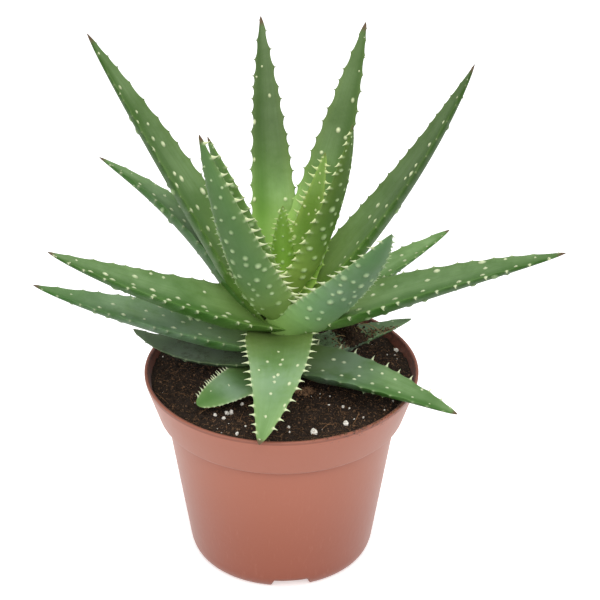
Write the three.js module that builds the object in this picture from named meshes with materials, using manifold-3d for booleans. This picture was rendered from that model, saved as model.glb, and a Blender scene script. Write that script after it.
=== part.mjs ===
// A potted aloe: a rosette of toothed, white-spotted succulent leaves on a short stem,
// standing in peat compost in a round terracotta-coloured plastic nursery pot.
// Millimetres, +Z up, the front is -Y. All pieces are made round the pot's axis, and the last
// step moves them so that the origin is the middle of the whole plant's outline, on the
// surface that the pot stands on. Leaf directions are degrees anticlockwise from +X, seen
// from above.
import * as THREE from "three";
import { mergeVertices } from "three/addons/utils/BufferGeometryUtils.js";
import Module from "manifold-3d";

const wasm = await Module();
wasm.setup();

// ---- Driving dimensions -------------------------------------------------------------------

const GAP = 0.3; // clearance between pieces that touch

const POT_HEIGHT = 90;
const RIM_RADIUS = 60;
const WALL = 1.2;
const COLLAR_HEIGHT = 20.5; // the flared band below the rim
const COLLAR_FOOT_RADIUS = 54;
const COLLAR_STEP = 0.6; // height of the ledge under the collar
const RIM_BAND = 1; // height of the upright edge of the rim
const BODY_TOP_RADIUS = 50.8;
const BODY_FOOT_RADIUS = 41.3;
const FOOT_FILLET = 6.5;
const INNER_FILLET = 3; // between the wall and the floor, inside
const FOOT_RING_WIDTH = 3;
const FLOOR_UNDERSIDE = 5.2; // the pot's floor is raised above its foot ring
const SEGMENTS = 48; // round the pot and the compost
const NOTCH = { count: 4, first: -84, footWidth: 18.4, topWidth: 15, height: 4.7, depth: 17 };
const DRAIN = { count: 4, first: 45, radius: 4.5, ring: 24, sides: 12, depth: 10 };

const SOIL_EDGE = 86; // height of the compost where it meets the pot
const SOIL_MOUND = 1.5; // how much higher it lies at the stem
const SOIL_RINGS = 9;
const CRUMB_RELIEF = 0.9;
const PERLITE = { count: 14, radius: 1.7, nearest: 20, farthest: 50, from: -170, to: 35 };

const STEM_RADIUS = 8;
const STEM_FOOT = 52; // how deep the stem stands in the compost
const STEM_TOP = 118;
const STEM_SIDES = 16;
// The stem narrows upwards among the leaves: [share of its radius, height].
const STEM_OUTLINE = [[0.7, STEM_FOOT], [1, 60], [1, 96], [0.8, 104], [0.62, 114], [0.3, STEM_TOP]];

const TOOTH = {
  length: 2, halfBase: 1.1, inset: 0.9, lean: 1, firstPitch: 5.5, lastPitch: 10, fromRoot: 9, fromTip: 5,
};
const PRICKLE = { height: 0.9, radius: 0.9, room: 2, share: 0.3, fromRoot: 22 };
const ROOT_OFFSET = { oldest: 8, youngest: 2 }; // from the stem's axis to the start of a leaf
const SPAN = 13; // length of leaf between two cross-sections
// Shares of a leaf: how wide and how thick it is at its root, where along it it is full, how far
// it clasps the stem, and how deep its channel is at the root and further on.
const BLADE = {
  rootWidth: 0.78, fullWidthAt: 0.15, rootDepth: 0.55, fullDepthAt: 0.2,
  claspEnd: 0.25, claspBend: 0.35, rootChannel: 0.22, channel: 0.12, channelAt: 0.6,
};

// One row for each leaf, from the oldest, at the soil, to the youngest, in the heart.
// faces: the side of the stem it grows from; root: height of its base; points, reach and
// height: where its tip is; arch and sway: how far its middle lies above and to the
// anticlockwise side of the straight line from base to tip; width and thick: its blade.
const LEAVES = [
  { name: "leaf_01_soil_left", faces: 174, root: 97, points: 165, reach: 68, height: 99.5,
    arch: -0.5, sway: 7.5, width: 26, thick: 5 },
  { name: "leaf_02_soil_right", faces: 19, root: 94, points: 24.5, reach: 64, height: 99.5,
    arch: 1.5, sway: -0.5, width: 21, thick: 5.5 },
  { name: "leaf_03_small_front_left", faces: -139, root: 91.5, points: -138.5, reach: 48, height: 91,
    arch: 3.5, sway: 3.5, width: 24, thick: 4, blunt: true },
  { name: "leaf_04_front_right", faces: -34, root: 96, points: -27, reach: 83.5, height: 90,
    arch: 5.5, sway: -1.5, width: 28, thick: 7.5 },
  { name: "leaf_05_back_low", faces: 108, root: 101, points: 108, reach: 70, height: 104,
    arch: 6, sway: 0, width: 22, thick: 6 },
  { name: "leaf_06_front", faces: -107, root: 111.5, points: -98, reach: 66.5, height: 93,
    arch: 10, sway: 4.5, width: 31, thick: 6 },
  { name: "leaf_07_left_low", faces: 171, root: 104, points: -177.5, reach: 106, height: 134,
    arch: -0.5, sway: 0.5, width: 29.5, thick: 8.5 },
  { name: "leaf_08_back_right_low", faces: 40, root: 110.5, points: 38, reach: 97, height: 127,
    arch: 1.5, sway: -0.5, width: 22.5, thick: 7.5 },
  { name: "leaf_09_back", faces: 84, root: 112, points: 84, reach: 70, height: 130,
    arch: 5, sway: 0, width: 23, thick: 7 },
  { name: "leaf_10_back_left_low", faces: 165, root: 110, points: 149.5, reach: 93, height: 169.5,
    arch: 8.5, sway: -3, width: 24.5, thick: 9.5 },
  { name: "leaf_11_right", faces: 5, root: 112, points: -4, reach: 120, height: 151.5,
    arch: 2, sway: 2, width: 29, thick: 8.5 },
  { name: "leaf_12_left", faces: 182, root: 115.5, points: -168, reach: 99, height: 158.5,
    arch: 0, sway: 2, width: 32, thick: 9 },
  { name: "leaf_13_right_front", faces: -77, root: 109, points: -42, reach: 59.5, height: 177,
    arch: 0.5, sway: 5.5, width: 30, thick: 7 },
  { name: "leaf_14_left_tall", faces: 155, root: 113.5, points: 156.5, reach: 89, height: 232.5,
    arch: 0.5, sway: -1.5, width: 27.5, thick: 9.5 },
  { name: "leaf_15_right_tall", faces: 15, root: 120.5, points: 16.5, reach: 84, height: 223.5,
    arch: -4, sway: -1.5, width: 26.5, thick: 9 },
  { name: "leaf_16_back_left_tall", faces: 100, root: 120.5, points: 98.5, reach: 60.5, height: 230.5,
    arch: 4, sway: 0.5, width: 23.5, thick: 7 },
  { name: "leaf_17_back_right_tall", faces: 64, root: 120, points: 50.5, reach: 56, height: 234.5,
    arch: 2, sway: -2, width: 25, thick: 7 },
  { name: "leaf_18_left_upright", faces: -137, root: 123, points: -155, reach: 33, height: 208,
    arch: 1, sway: -0.5, width: 26.5, thick: 6 },
  { name: "leaf_19_front_left_upright", faces: -110, root: 118, points: -135, reach: 46, height: 217.5,
    arch: -10, sway: 4, width: 25, thick: 7 },
  { name: "leaf_20_right_upright", faces: -34, root: 126, points: -30, reach: 33, height: 214.5,
    arch: -1, sway: 6, width: 22.5, thick: 6 },
  { name: "leaf_21_inner_right", faces: 60, root: 125.5, points: 23.5, reach: 20, height: 190.5,
    arch: 0, sway: -1.5, width: 17, thick: 4 },
  { name: "leaf_22_heart", faces: -91, root: 127.5, points: -73, reach: 2, height: 170.5,
    arch: 3, sway: 0, width: 11, thick: 4 },
];

// ---- Helpers ------------------------------------------------------------------------------

// A repeatable stream of numbers from 0 to 1.
function randomStream(seed) {
  let state = seed;
  return () => {
    state = (state + 0x6d2b79f5) | 0;
    let mixed = Math.imul(state ^ (state >>> 15), 1 | state);
    mixed = (mixed + Math.imul(mixed ^ (mixed >>> 7), 61 | mixed)) ^ mixed;
    return ((mixed ^ (mixed >>> 14)) >>> 0) / 4294967296;
  };
}

// A closed three.js geometry as a manifold-3d solid.
function solidOf(geometry) {
  const bare = new THREE.BufferGeometry().setAttribute("position", geometry.getAttribute("position"));
  if (geometry.index) bare.setIndex(geometry.index);
  const merged = mergeVertices(bare, 1e-4);
  return new wasm.Manifold(
    new wasm.Mesh({
      numProp: 3,
      vertProperties: new Float32Array(merged.attributes.position.array),
      triVerts: new Uint32Array(merged.index.array),
    }),
  );
}

function geometryOf(solid) {
  const mesh = solid.getMesh();
  const places = new Float32Array(mesh.numVert * 3);
  for (let i = 0; i < mesh.numVert; i++) {
    places.set(mesh.vertProperties.subarray(i * mesh.numProp, i * mesh.numProp + 3), i * 3);
  }
  const geometry = new THREE.BufferGeometry();
  geometry.setAttribute("position", new THREE.BufferAttribute(places, 3));
  geometry.setIndex(new THREE.BufferAttribute(new Uint32Array(mesh.triVerts), 1));
  geometry.computeVertexNormals();
  return geometry;
}

// The biggest body of a solid that a cut has left in several.
function mainBody(solid) {
  return solid.decompose().reduce((a, b) => (a.volume() > b.volume() ? a : b));
}

// A closed profile of [radius, height] pairs turned about +Z.
function turned(profile, segments) {
  const outline = profile.map(([radius, height]) => new THREE.Vector2(radius, height));
  return new THREE.LatheGeometry(outline, segments).rotateX(Math.PI / 2);
}

function meshOfPoints(points, triangles) {
  const geometry = new THREE.BufferGeometry().setFromPoints(points);
  geometry.setIndex(triangles.flat());
  return geometry;
}

const polar = (radius, degrees, height) => {
  const angle = THREE.MathUtils.degToRad(degrees);
  return new THREE.Vector3(radius * Math.cos(angle), radius * Math.sin(angle), height);
};

// ---- Pot ----------------------------------------------------------------------------------

const COLLAR_FOOT = POT_HEIGHT - COLLAR_HEIGHT;
const POT_FLOOR = FLOOR_UNDERSIDE + WALL;
// The pot's wall inside the collar, as [radius, height] at its foot and at the rim.
const COLLAR_INSIDE_FOOT = [COLLAR_FOOT_RADIUS - WALL, COLLAR_FOOT + COLLAR_STEP + 1.3 * WALL];
const COLLAR_INSIDE_TOP = [RIM_RADIUS - 1.3 * WALL, POT_HEIGHT];

// Outer radius of the pot's body at a height below the collar.
function bodyRadius(height) {
  const share = (height - FOOT_FILLET) / (COLLAR_FOOT - FOOT_FILLET);
  return THREE.MathUtils.lerp(BODY_FOOT_RADIUS, BODY_TOP_RADIUS, share);
}

function potProfile() {
  const fillet = [0, 22.5, 45, 67.5, 90].map((degrees) => {
    const angle = THREE.MathUtils.degToRad(degrees);
    return [
      BODY_FOOT_RADIUS - FOOT_FILLET * (1 - Math.cos(angle)),
      FOOT_FILLET * (1 - Math.sin(angle)),
    ];
  });
  const ringInside = BODY_FOOT_RADIUS - FOOT_FILLET - FOOT_RING_WIDTH;
  return [
    [0, FLOOR_UNDERSIDE],
    [ringInside, FLOOR_UNDERSIDE],
    [ringInside, 0],
    ...fillet.reverse(),
    [BODY_TOP_RADIUS, COLLAR_FOOT],
    [COLLAR_FOOT_RADIUS, COLLAR_FOOT + COLLAR_STEP],
    [RIM_RADIUS, POT_HEIGHT - RIM_BAND],
    [RIM_RADIUS, POT_HEIGHT],
    COLLAR_INSIDE_TOP,
    COLLAR_INSIDE_FOOT,
    [BODY_TOP_RADIUS - WALL, COLLAR_FOOT],
    [bodyRadius(POT_FLOOR + INNER_FILLET) - WALL, POT_FLOOR + INNER_FILLET],
    [bodyRadius(POT_FLOOR) - WALL - 0.75 * INNER_FILLET, POT_FLOOR],
    [0, POT_FLOOR],
  ];
}

// A bar across the foot ring, wider at the foot than at its top.
function notchGeometry() {
  const flare = (NOTCH.footWidth - NOTCH.topWidth) / 2;
  const half = NOTCH.topWidth / 2;
  const outline = new THREE.Shape([
    new THREE.Vector2(-half - 2 * flare, -NOTCH.height),
    new THREE.Vector2(half + 2 * flare, -NOTCH.height),
    new THREE.Vector2(half, NOTCH.height),
    new THREE.Vector2(-half, NOTCH.height),
  ]);
  const bar = new THREE.ExtrudeGeometry(outline, { depth: NOTCH.depth, bevelEnabled: false });
  const start = BODY_FOOT_RADIUS - FOOT_FILLET - NOTCH.depth / 2;
  return bar.rotateX(Math.PI / 2).rotateZ(Math.PI / 2).translate(start, 0, 0);
}

// The foot ring is notched so that water runs out, and the floor has a drain hole in its middle
// and a ring of them.
function makePot() {
  let pot = solidOf(turned(potProfile(), SEGMENTS));
  for (let i = 0; i < NOTCH.count; i++) {
    const notch = notchGeometry();
    notch.rotateZ(THREE.MathUtils.degToRad(NOTCH.first + (i * 360) / NOTCH.count));
    pot = pot.subtract(solidOf(notch));
  }
  for (let i = 0; i <= DRAIN.count; i++) {
    const hole = new THREE.CylinderGeometry(DRAIN.radius, DRAIN.radius, DRAIN.depth, DRAIN.sides);
    const fromMiddle = i < DRAIN.count ? DRAIN.ring : 0;
    const centre = polar(fromMiddle, DRAIN.first + (i * 360) / DRAIN.count, POT_FLOOR);
    hole.rotateX(Math.PI / 2).translate(centre.x, centre.y, centre.z);
    pot = pot.subtract(solidOf(hole));
  }
  return pot;
}

// ---- Compost ------------------------------------------------------------------------------

const SOIL_HOLE = STEM_RADIUS + GAP;

// Low waves that cross each other stand for the crumbs of the peat.
function crumbs(x, y) {
  const coarse = Math.sin(x * 0.31 + 1.3) * Math.cos(y * 0.27 - 0.4);
  const fine = Math.sin(x * 0.9 + y * 0.55) * Math.cos(y * 1.05 - x * 0.4 + 2);
  return CRUMB_RELIEF * (0.6 * coarse + 0.7 * fine);
}

function soilHeight(x, y) {
  const share = THREE.MathUtils.clamp(Math.hypot(x, y) / COLLAR_FOOT_RADIUS, 0, 1);
  return SOIL_EDGE + SOIL_MOUND * (0.5 + 0.5 * Math.cos(Math.PI * share)) + crumbs(x, y);
}

// Radius of the compost against the collar's wall.
function soilEdgeRadius(height) {
  const [footRadius, foot] = COLLAR_INSIDE_FOOT;
  const [topRadius, top] = COLLAR_INSIDE_TOP;
  return THREE.MathUtils.lerp(footRadius, topRadius, (height - foot) / (top - foot)) - 1.5 * GAP;
}

// A lathe of rings: down the stem's hole, over the crumbled top, down the pot's wall and in.
function soilGeometry() {
  const rings = [];
  const ring = (radius, heightAt) => {
    const row = [];
    for (let k = 0; k < SEGMENTS; k++) {
      const p = polar(radius, (k * 360) / SEGMENTS, 0);
      row.push(new THREE.Vector3(p.x, p.y, heightAt(p.x, p.y)));
    }
    rings.push(row);
  };
  const bottom = POT_FLOOR + GAP;
  const corner = bottom + INNER_FILLET + GAP;
  ring(SOIL_HOLE, () => STEM_FOOT - GAP);
  for (let i = 0; i <= SOIL_RINGS; i++) {
    const share = i / SOIL_RINGS;
    ring(THREE.MathUtils.lerp(SOIL_HOLE, soilEdgeRadius(SOIL_EDGE - 2), share), soilHeight);
  }
  ring(COLLAR_INSIDE_FOOT[0] - 2 * GAP, () => COLLAR_INSIDE_FOOT[1]);
  ring(BODY_TOP_RADIUS - WALL - GAP, () => COLLAR_FOOT + GAP);
  ring(bodyRadius(corner) - WALL - GAP, () => corner);
  ring(bodyRadius(bottom) - WALL - INNER_FILLET, () => bottom);
  const points = rings.flat();
  const triangles = [];
  const at = (i, k) => i * SEGMENTS + (k % SEGMENTS);
  for (let i = 0; i + 1 < rings.length; i++) {
    for (let k = 0; k < SEGMENTS; k++) {
      triangles.push([at(i, k), at(i + 1, k), at(i + 1, k + 1)]);
      triangles.push([at(i, k), at(i + 1, k + 1), at(i, k + 1)]);
    }
  }
  const holeFloor = points.push(new THREE.Vector3(0, 0, STEM_FOOT - GAP)) - 1;
  const underside = points.push(new THREE.Vector3(0, 0, bottom)) - 1;
  const last = rings.length - 1;
  for (let k = 0; k < SEGMENTS; k++) {
    triangles.push([holeFloor, at(0, k), at(0, k + 1)]);
    triangles.push([underside, at(last, k + 1), at(last, k)]);
  }
  return meshOfPoints(points, triangles);
}

// Perlite: white expanded grains, half sunk in the surface of the compost.
function perliteGrains() {
  const random = randomStream(7);
  const grains = [];
  for (let i = 0; i < PERLITE.count; i++) {
    const away = THREE.MathUtils.lerp(PERLITE.nearest, PERLITE.farthest, random());
    const spot = polar(away, THREE.MathUtils.lerp(PERLITE.from, PERLITE.to, random()), 0);
    const radius = PERLITE.radius * (0.6 + 0.6 * random());
    const grain = new THREE.IcosahedronGeometry(radius, 0);
    grain.rotateX(3 * random()).rotateZ(3 * random());
    grain.translate(spot.x, spot.y, soilHeight(spot.x, spot.y) + 0.2 * radius);
    grains.push(grain);
  }
  return grains;
}

function makeSoil() {
  const grains = perliteGrains().map(solidOf);
  return grains.reduce((soil, grain) => soil.add(grain), solidOf(soilGeometry()));
}

// ---- Stem ---------------------------------------------------------------------------------

// The stem, or with grow the hole in the leaves that it stands in.
function stemSolid(grow) {
  const side = STEM_OUTLINE.map(([share, height]) => [share * STEM_RADIUS + grow, height]);
  side[0][1] -= grow;
  side.at(-1)[1] += grow;
  return solidOf(turned([[0, side[0][1]], ...side, [0, side.at(-1)[1]]], STEM_SIDES));
}

// ---- Leaves -------------------------------------------------------------------------------

// The cross-section, round from the left margin over the upper face and back below.
// Each entry is [place across the blade from -1 to 1, 1 for the upper face or -1 for the lower].
const SECTION = [[-1, 1], [-0.5, 1], [0, 1], [0.5, 1], [1, 1], [0.6, -1], [0, -1], [-0.6, -1]];
const RIGHT_MARGIN = 4;
const UPPER_LINE = [0, 1, 2, 3, 4]; // its points from left to right, over each face
const LOWER_LINE = [0, 7, 6, 5, 4];

// The middle line of a leaf and the directions of its blade at share t of its length.
function midrib(leaf) {
  const age = LEAVES.indexOf(leaf) / (LEAVES.length - 1);
  const offset = THREE.MathUtils.lerp(ROOT_OFFSET.oldest, ROOT_OFFSET.youngest, age);
  const start = polar(offset, leaf.faces, leaf.root);
  const tip = polar(leaf.reach, leaf.points, leaf.height);
  const chord = tip.clone().sub(start);
  const across = polar(1, leaf.faces + 90, 0);
  across.addScaledVector(chord, -across.dot(chord) / chord.lengthSq()).normalize();
  const above = new THREE.Vector3().crossVectors(chord, across).normalize();
  const middle = start.clone().add(tip).multiplyScalar(0.5);
  middle.addScaledVector(above, leaf.arch * 2).addScaledVector(across, leaf.sway * 2);
  const curve = new THREE.QuadraticBezierCurve3(start, middle, tip);
  return { curve, across, inward: polar(-1, leaf.faces, 0), length: curve.getLength() };
}

function frameAt(rib, t) {
  const along = rib.curve.getTangent(t);
  const side = rib.across.clone().addScaledVector(along, -rib.across.dot(along)).normalize();
  const up = new THREE.Vector3().crossVectors(along, side);
  return { origin: rib.curve.getPoint(t), along, side, up, inward: rib.inward };
}

// The shares of a leaf's length at which it has a cross-section, closer together at the tip.
function stationsOf(rib) {
  const spans = Math.max(4, Math.round(rib.length / SPAN));
  return Array.from({ length: spans }, (_, i) => (i / spans) * (2 - i / spans) * 0.98);
}

// How strongly the margins bend towards the stem, to clasp it at the root.
const clasp = (t) => Math.pow(Math.max(0, 1 - t / BLADE.claspEnd), 2);

// From the value at the root to 1 at share full of the length, and 1 from there on.
const risen = (t, full, atRoot) => THREE.MathUtils.lerp(atRoot, 1, Math.min(1, t / full));

function halfWidth(leaf, t) {
  const taper = leaf.blunt ? Math.pow(1 - t * t * t, 0.55) : Math.pow(1 - Math.pow(t, 1.7), 0.75);
  return 0.5 * leaf.width * taper * risen(t, BLADE.fullWidthAt, BLADE.rootWidth);
}

function depth(leaf, t) {
  const taper = Math.pow(1 - Math.pow(t, 1.8), 0.75);
  return leaf.thick * taper * risen(t, BLADE.fullDepthAt, BLADE.rootDepth);
}

// How far the margins stand above the middle, so that the upper face is a channel.
function channel(leaf, t) {
  const share = Math.min(1, t / BLADE.channelAt);
  const deep = THREE.MathUtils.lerp(BLADE.rootChannel, BLADE.channel, share);
  return halfWidth(leaf, t) * deep * (1 - t * t * t);
}

// A point of the blade. swell grows it, and flare carries its section on past the margins.
function bladePoint(leaf, frame, t, place, face, swell = 0, flare = 0) {
  const half = halfWidth(leaf, t);
  const spread = (place * (half + flare)) / half;
  const lift = channel(leaf, t) * spread * spread;
  const belly = depth(leaf, t) * Math.pow(1 - Math.pow(Math.abs(place), 2.2), 0.8);
  const rise = face > 0 ? lift + swell : lift - belly - swell;
  return frame.origin
    .clone()
    .addScaledVector(frame.side, spread * half)
    .addScaledVector(frame.up, rise)
    .addScaledVector(frame.inward, BLADE.claspBend * half * clasp(t) * spread * spread);
}

// The strip that closes the end of a blade, between the lines across its two faces.
function endStrip(upper, lower, atRoot) {
  const triangles = [];
  for (let i = 0; i + 1 < upper.length; i++) {
    if (upper[i + 1] !== lower[i + 1]) triangles.push([upper[i], upper[i + 1], lower[i + 1]]);
    if (upper[i] !== lower[i]) triangles.push([upper[i], lower[i + 1], lower[i]]);
  }
  return atRoot ? triangles : triangles.map(([a, b, c]) => [a, c, b]);
}

// Where the teeth stand along a margin, closer together near the root.
function toothPlaces(length, shift) {
  const places = [];
  let at = TOOTH.fromRoot + shift * TOOTH.firstPitch;
  while (at < length - TOOTH.fromTip) {
    places.push(at / length);
    at += THREE.MathUtils.lerp(TOOTH.firstPitch, TOOTH.lastPitch, at / length);
  }
  return places;
}

function leafGeometry(leaf, seed) {
  const random = randomStream(seed);
  const rib = midrib(leaf);
  const points = [];
  const triangles = [];
  const add = (p) => points.push(p) - 1;
  const stations = stationsOf(rib);
  const spans = stations.length;
  const rings = stations.map((t) => {
    const frame = frameAt(rib, t);
    return SECTION.map(([place, face]) => add(bladePoint(leaf, frame, t, place, face)));
  });
  const tip = add(frameAt(rib, 1).origin);
  stations.push(1);
  rings.push(SECTION.map(() => tip));

  const teeth = { 0: toothPlaces(rib.length, 0), [RIGHT_MARGIN]: toothPlaces(rib.length, 0.5) };

  // The margin between two cross-sections. Each tooth there is a four-sided point whose foot
  // lies along the margin and a little way in on both faces.
  const marginChains = (i, j) => {
    const upper = [rings[i][j]];
    const lower = [rings[i][j]];
    const sign = j === 0 ? -1 : 1;
    const share = (t) => (t - stations[i]) / (stations[i + 1] - stations[i]);
    const line = (t, k) => points[rings[i][k]].clone().lerp(points[rings[i + 1][k]], share(t));
    const half = TOOTH.halfBase / rib.length;
    for (const t of teeth[j]) {
      if (t - half <= stations[i] || t + half >= stations[i + 1]) continue;
      const frame = frameAt(rib, t);
      const size = TOOTH.length * Math.min(1, 0.45 + 1.2 * (1 - t));
      const tip = line(t, j).addScaledVector(frame.side, sign * size);
      const apex = add(tip.addScaledVector(frame.along, TOOTH.lean));
      const [start, end] = [add(line(t - half, j)), add(line(t + half, j))];
      const inset = (k) => {
        const from = line(t, j);
        const towards = line(t, k).sub(from);
        return add(from.addScaledVector(towards, TOOTH.inset / towards.length()));
      };
      const above = inset(j === 0 ? 1 : RIGHT_MARGIN - 1);
      const below = inset(j === 0 ? SECTION.length - 1 : RIGHT_MARGIN + 1);
      upper.push(start, above, end);
      lower.push(start, below, end);
      const sides = [[start, apex, above], [above, apex, end], [end, apex, below], [below, apex, start]];
      triangles.push(...(j === 0 ? sides : sides.map(([a, b, c]) => [a, c, b])));
    }
    upper.push(rings[i + 1][j]);
    lower.push(rings[i + 1][j]);
    return { upper, lower };
  };

  // A strip between a margin chain and the next line of the blade inboard of it.
  const stitch = (chain, near, far, flip) => {
    const half = Math.floor((chain.length - 1) / 2);
    const put = (a, b, c) => {
      if (a !== b && b !== c && a !== c) triangles.push(flip ? [a, c, b] : [a, b, c]);
    };
    for (let k = 0; k < half; k++) put(near, chain[k + 1], chain[k]);
    put(near, far, chain[half]);
    for (let k = half; k + 1 < chain.length; k++) put(far, chain[k + 1], chain[k]);
  };

  const faces = [];
  for (let i = 0; i < spans; i++) {
    const left = marginChains(i, 0);
    const right = marginChains(i, RIGHT_MARGIN);
    const last = SECTION.length - 1;
    stitch(left.upper, rings[i][1], rings[i + 1][1], true);
    stitch(left.lower, rings[i][last], rings[i + 1][last], false);
    stitch(right.upper, rings[i][RIGHT_MARGIN - 1], rings[i + 1][RIGHT_MARGIN - 1], false);
    stitch(right.lower, rings[i][RIGHT_MARGIN + 1], rings[i + 1][RIGHT_MARGIN + 1], true);
    for (const j of [1, 2, 5, 6]) {
      const [a, b, c, d] = [rings[i][j], rings[i][j + 1], rings[i + 1][j + 1], rings[i + 1][j]];
      faces.push([a, c, b]);
      if (c !== d) faces.push([a, d, c]);
    }
  }

  // Prickles: low three-sided points raised from the middle of some triangles of the faces.
  for (const [a, b, c] of faces) {
    const corners = [a, b, c].map((k) => points[k]);
    const centre = corners[0].clone().add(corners[1]).add(corners[2]).divideScalar(3);
    const normal = new THREE.Vector3()
      .crossVectors(corners[1].clone().sub(corners[0]), corners[2].clone().sub(corners[0]))
      .normalize();
    const away = Math.min(...corners.map((p) => p.distanceTo(centre)));
    const early = centre.distanceTo(points[rings[0][2]]) < PRICKLE.fromRoot;
    if (away < PRICKLE.room || early || random() > PRICKLE.share) {
      triangles.push([a, b, c]);
      continue;
    }
    const foot = corners.map((p) => add(centre.clone().lerp(p, PRICKLE.radius / p.distanceTo(centre))));
    const apex = add(centre.clone().addScaledVector(normal, PRICKLE.height));
    const corner = [a, b, c];
    for (let k = 0; k < 3; k++) {
      const next = (k + 1) % 3;
      triangles.push([corner[k], corner[next], foot[next]], [corner[k], foot[next], foot[k]]);
      triangles.push([foot[k], foot[next], apex]);
    }
  }

  const [upper, lower] = [UPPER_LINE, LOWER_LINE].map((line) => line.map((j) => rings[0][j]));
  triangles.push(...endStrip(upper, lower, true));
  return meshOfPoints(points, triangles);
}

// The room that a leaf needs: the same blade with clearance all round, wide enough for its
// teeth, from just behind its root to its last cross-section.
function leafRoom(leaf) {
  const rib = midrib(leaf);
  const clear = 1.5 * GAP;
  const [above, below] = [SECTION.slice(0, RIGHT_MARGIN + 1), SECTION.slice(RIGHT_MARGIN + 1)];
  const outline = [...above, [1, -1], ...below, [-1, -1]];
  const stations = [0, ...stationsOf(rib)];
  const points = [];
  const triangles = [];
  stations.forEach((t, i) => {
    const frame = frameAt(rib, t);
    for (const [place, face] of outline) {
      const margin = Math.abs(place) === 1;
      const swell = margin ? 3.5 * clear : clear;
      const point = bladePoint(leaf, frame, t, place, face, swell, margin ? TOOTH.length + GAP : 0);
      points.push(i === 0 ? point.addScaledVector(frame.along, -clear) : point);
    }
  });
  const around = outline.length;
  for (let i = 0; i + 1 < stations.length; i++) {
    for (let j = 0; j < around; j++) {
      const [a, b] = [i * around + j, i * around + ((j + 1) % around)];
      triangles.push([a, b + around, b], [a, a + around, b + around]);
    }
  }
  for (const row of [0, stations.length - 1]) {
    const upper = UPPER_LINE.map((j) => row * around + j);
    const lower = UPPER_LINE.map((j) => (row + 1) * around - 1 - j);
    triangles.push(...endStrip(upper, lower, row === 0));
  }
  return meshOfPoints(points, triangles);
}

// Each leaf is cut back from the stem and from every younger leaf, which it sheathes.
function makeLeaves() {
  const made = [];
  let taken = stemSolid(GAP);
  for (let k = LEAVES.length - 1; k >= 0; k--) {
    const blade = solidOf(leafGeometry(LEAVES[k], 100 + k));
    made.unshift(mainBody(blade.subtract(taken)));
    taken = taken.add(solidOf(leafRoom(LEAVES[k])));
  }
  return made;
}

// ---- Assembly -----------------------------------------------------------------------------

const plastic = new THREE.MeshStandardMaterial({ color: 0xbb7760, roughness: 0.45, metalness: 0 });
const peat = new THREE.MeshStandardMaterial({ color: 0x33231b, roughness: 1, metalness: 0 });
const stalk = new THREE.MeshStandardMaterial({ color: 0x6f7448, roughness: 0.8, metalness: 0 });
const leafGreen = new THREE.MeshStandardMaterial({ color: 0x5f9154, roughness: 0.5, metalness: 0 });

const aloe = new THREE.Group();
const place = (name, solid, material) => {
  const mesh = new THREE.Mesh(geometryOf(solid), material);
  mesh.name = name;
  aloe.add(mesh);
};

place("pot", makePot(), plastic);
place("soil", makeSoil(), peat);
place("stem", stemSolid(0), stalk);
makeLeaves().forEach((leaf, k) => place(LEAVES[k].name, leaf, leafGreen));

const outline = new THREE.Box3().setFromObject(aloe);
const middle = outline.getCenter(new THREE.Vector3());
aloe.position.set(-middle.x, -middle.y, -outline.min.z);

export default aloe;
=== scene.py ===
import bmesh
import bpy
import numpy as np
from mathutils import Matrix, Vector


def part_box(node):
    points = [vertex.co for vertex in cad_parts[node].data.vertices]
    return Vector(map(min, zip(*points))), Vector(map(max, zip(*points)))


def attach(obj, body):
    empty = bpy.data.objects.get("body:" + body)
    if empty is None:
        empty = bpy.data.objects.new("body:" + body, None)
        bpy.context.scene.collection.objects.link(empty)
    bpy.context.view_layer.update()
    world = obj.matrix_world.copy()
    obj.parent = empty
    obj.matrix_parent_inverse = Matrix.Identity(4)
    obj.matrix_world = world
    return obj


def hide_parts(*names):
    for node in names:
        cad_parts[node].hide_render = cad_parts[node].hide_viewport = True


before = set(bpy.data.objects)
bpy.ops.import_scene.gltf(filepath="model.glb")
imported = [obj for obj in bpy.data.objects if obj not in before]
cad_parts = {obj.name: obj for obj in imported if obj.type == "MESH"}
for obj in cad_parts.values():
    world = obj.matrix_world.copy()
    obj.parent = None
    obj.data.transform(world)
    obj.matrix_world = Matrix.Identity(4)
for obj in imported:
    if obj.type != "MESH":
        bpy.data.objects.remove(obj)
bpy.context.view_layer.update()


# ---- Pot ----------------------------------------------------------------------------------
# A round nursery pot of terracotta-coloured plastic, moulded in one piece: a flared collar
# under the rim, a tapered body, and a foot ring that is notched so that water can run out.
# Sizes are millimetres about the pot's axis, and in_frame carries them to the frame.
pot_low, pot_high = (np.array(corner) * 1000 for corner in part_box("pot"))
pot_axis = (pot_low + pot_high) / 2 * [1, 1, 0]
RIM_RADIUS = (pot_high[0] - pot_low[0]) / 2
POT_HEIGHT = pot_high[2]
WALL = 1.2
RIM_WALL = 1.3 * WALL
COLLAR_FOOT = POT_HEIGHT - 20.5
COLLAR_FOOT_RADIUS = 54
COLLAR_LEDGE = 0.6
INSIDE_COLLAR_FOOT = COLLAR_FOOT + COLLAR_LEDGE + RIM_WALL
BODY_TOP_RADIUS = 50.8
BODY_FOOT_RADIUS = 41.3
FOOT_FILLET = 6.5
FOOT_RING_INSIDE = 31.8
FLOOR_UNDERSIDE = 5.2
POT_FLOOR = FLOOR_UNDERSIDE + WALL
# Openings stand evenly round the pot from the first one's angle on, in degrees. A notch is
# wider at its foot, and a plug's two heights are the cutter's ends.
NOTCH = {"count": 4, "first": -84, "half_top": 10.6, "half_foot": 13.2, "height": 4.7}
DRAIN = {"count": 4, "first": 45, "radius": 4.5, "ring": 24, "plug": (-5, 11)}
POT_COLUMNS = 288
SHARP_EDGE = 50  # degrees from which an edge isn't shaded smooth


def in_frame(points):
    """Millimetres about the pot's axis, as metres in the frame."""
    return (np.asarray(points) + pot_axis) / 1000


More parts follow.
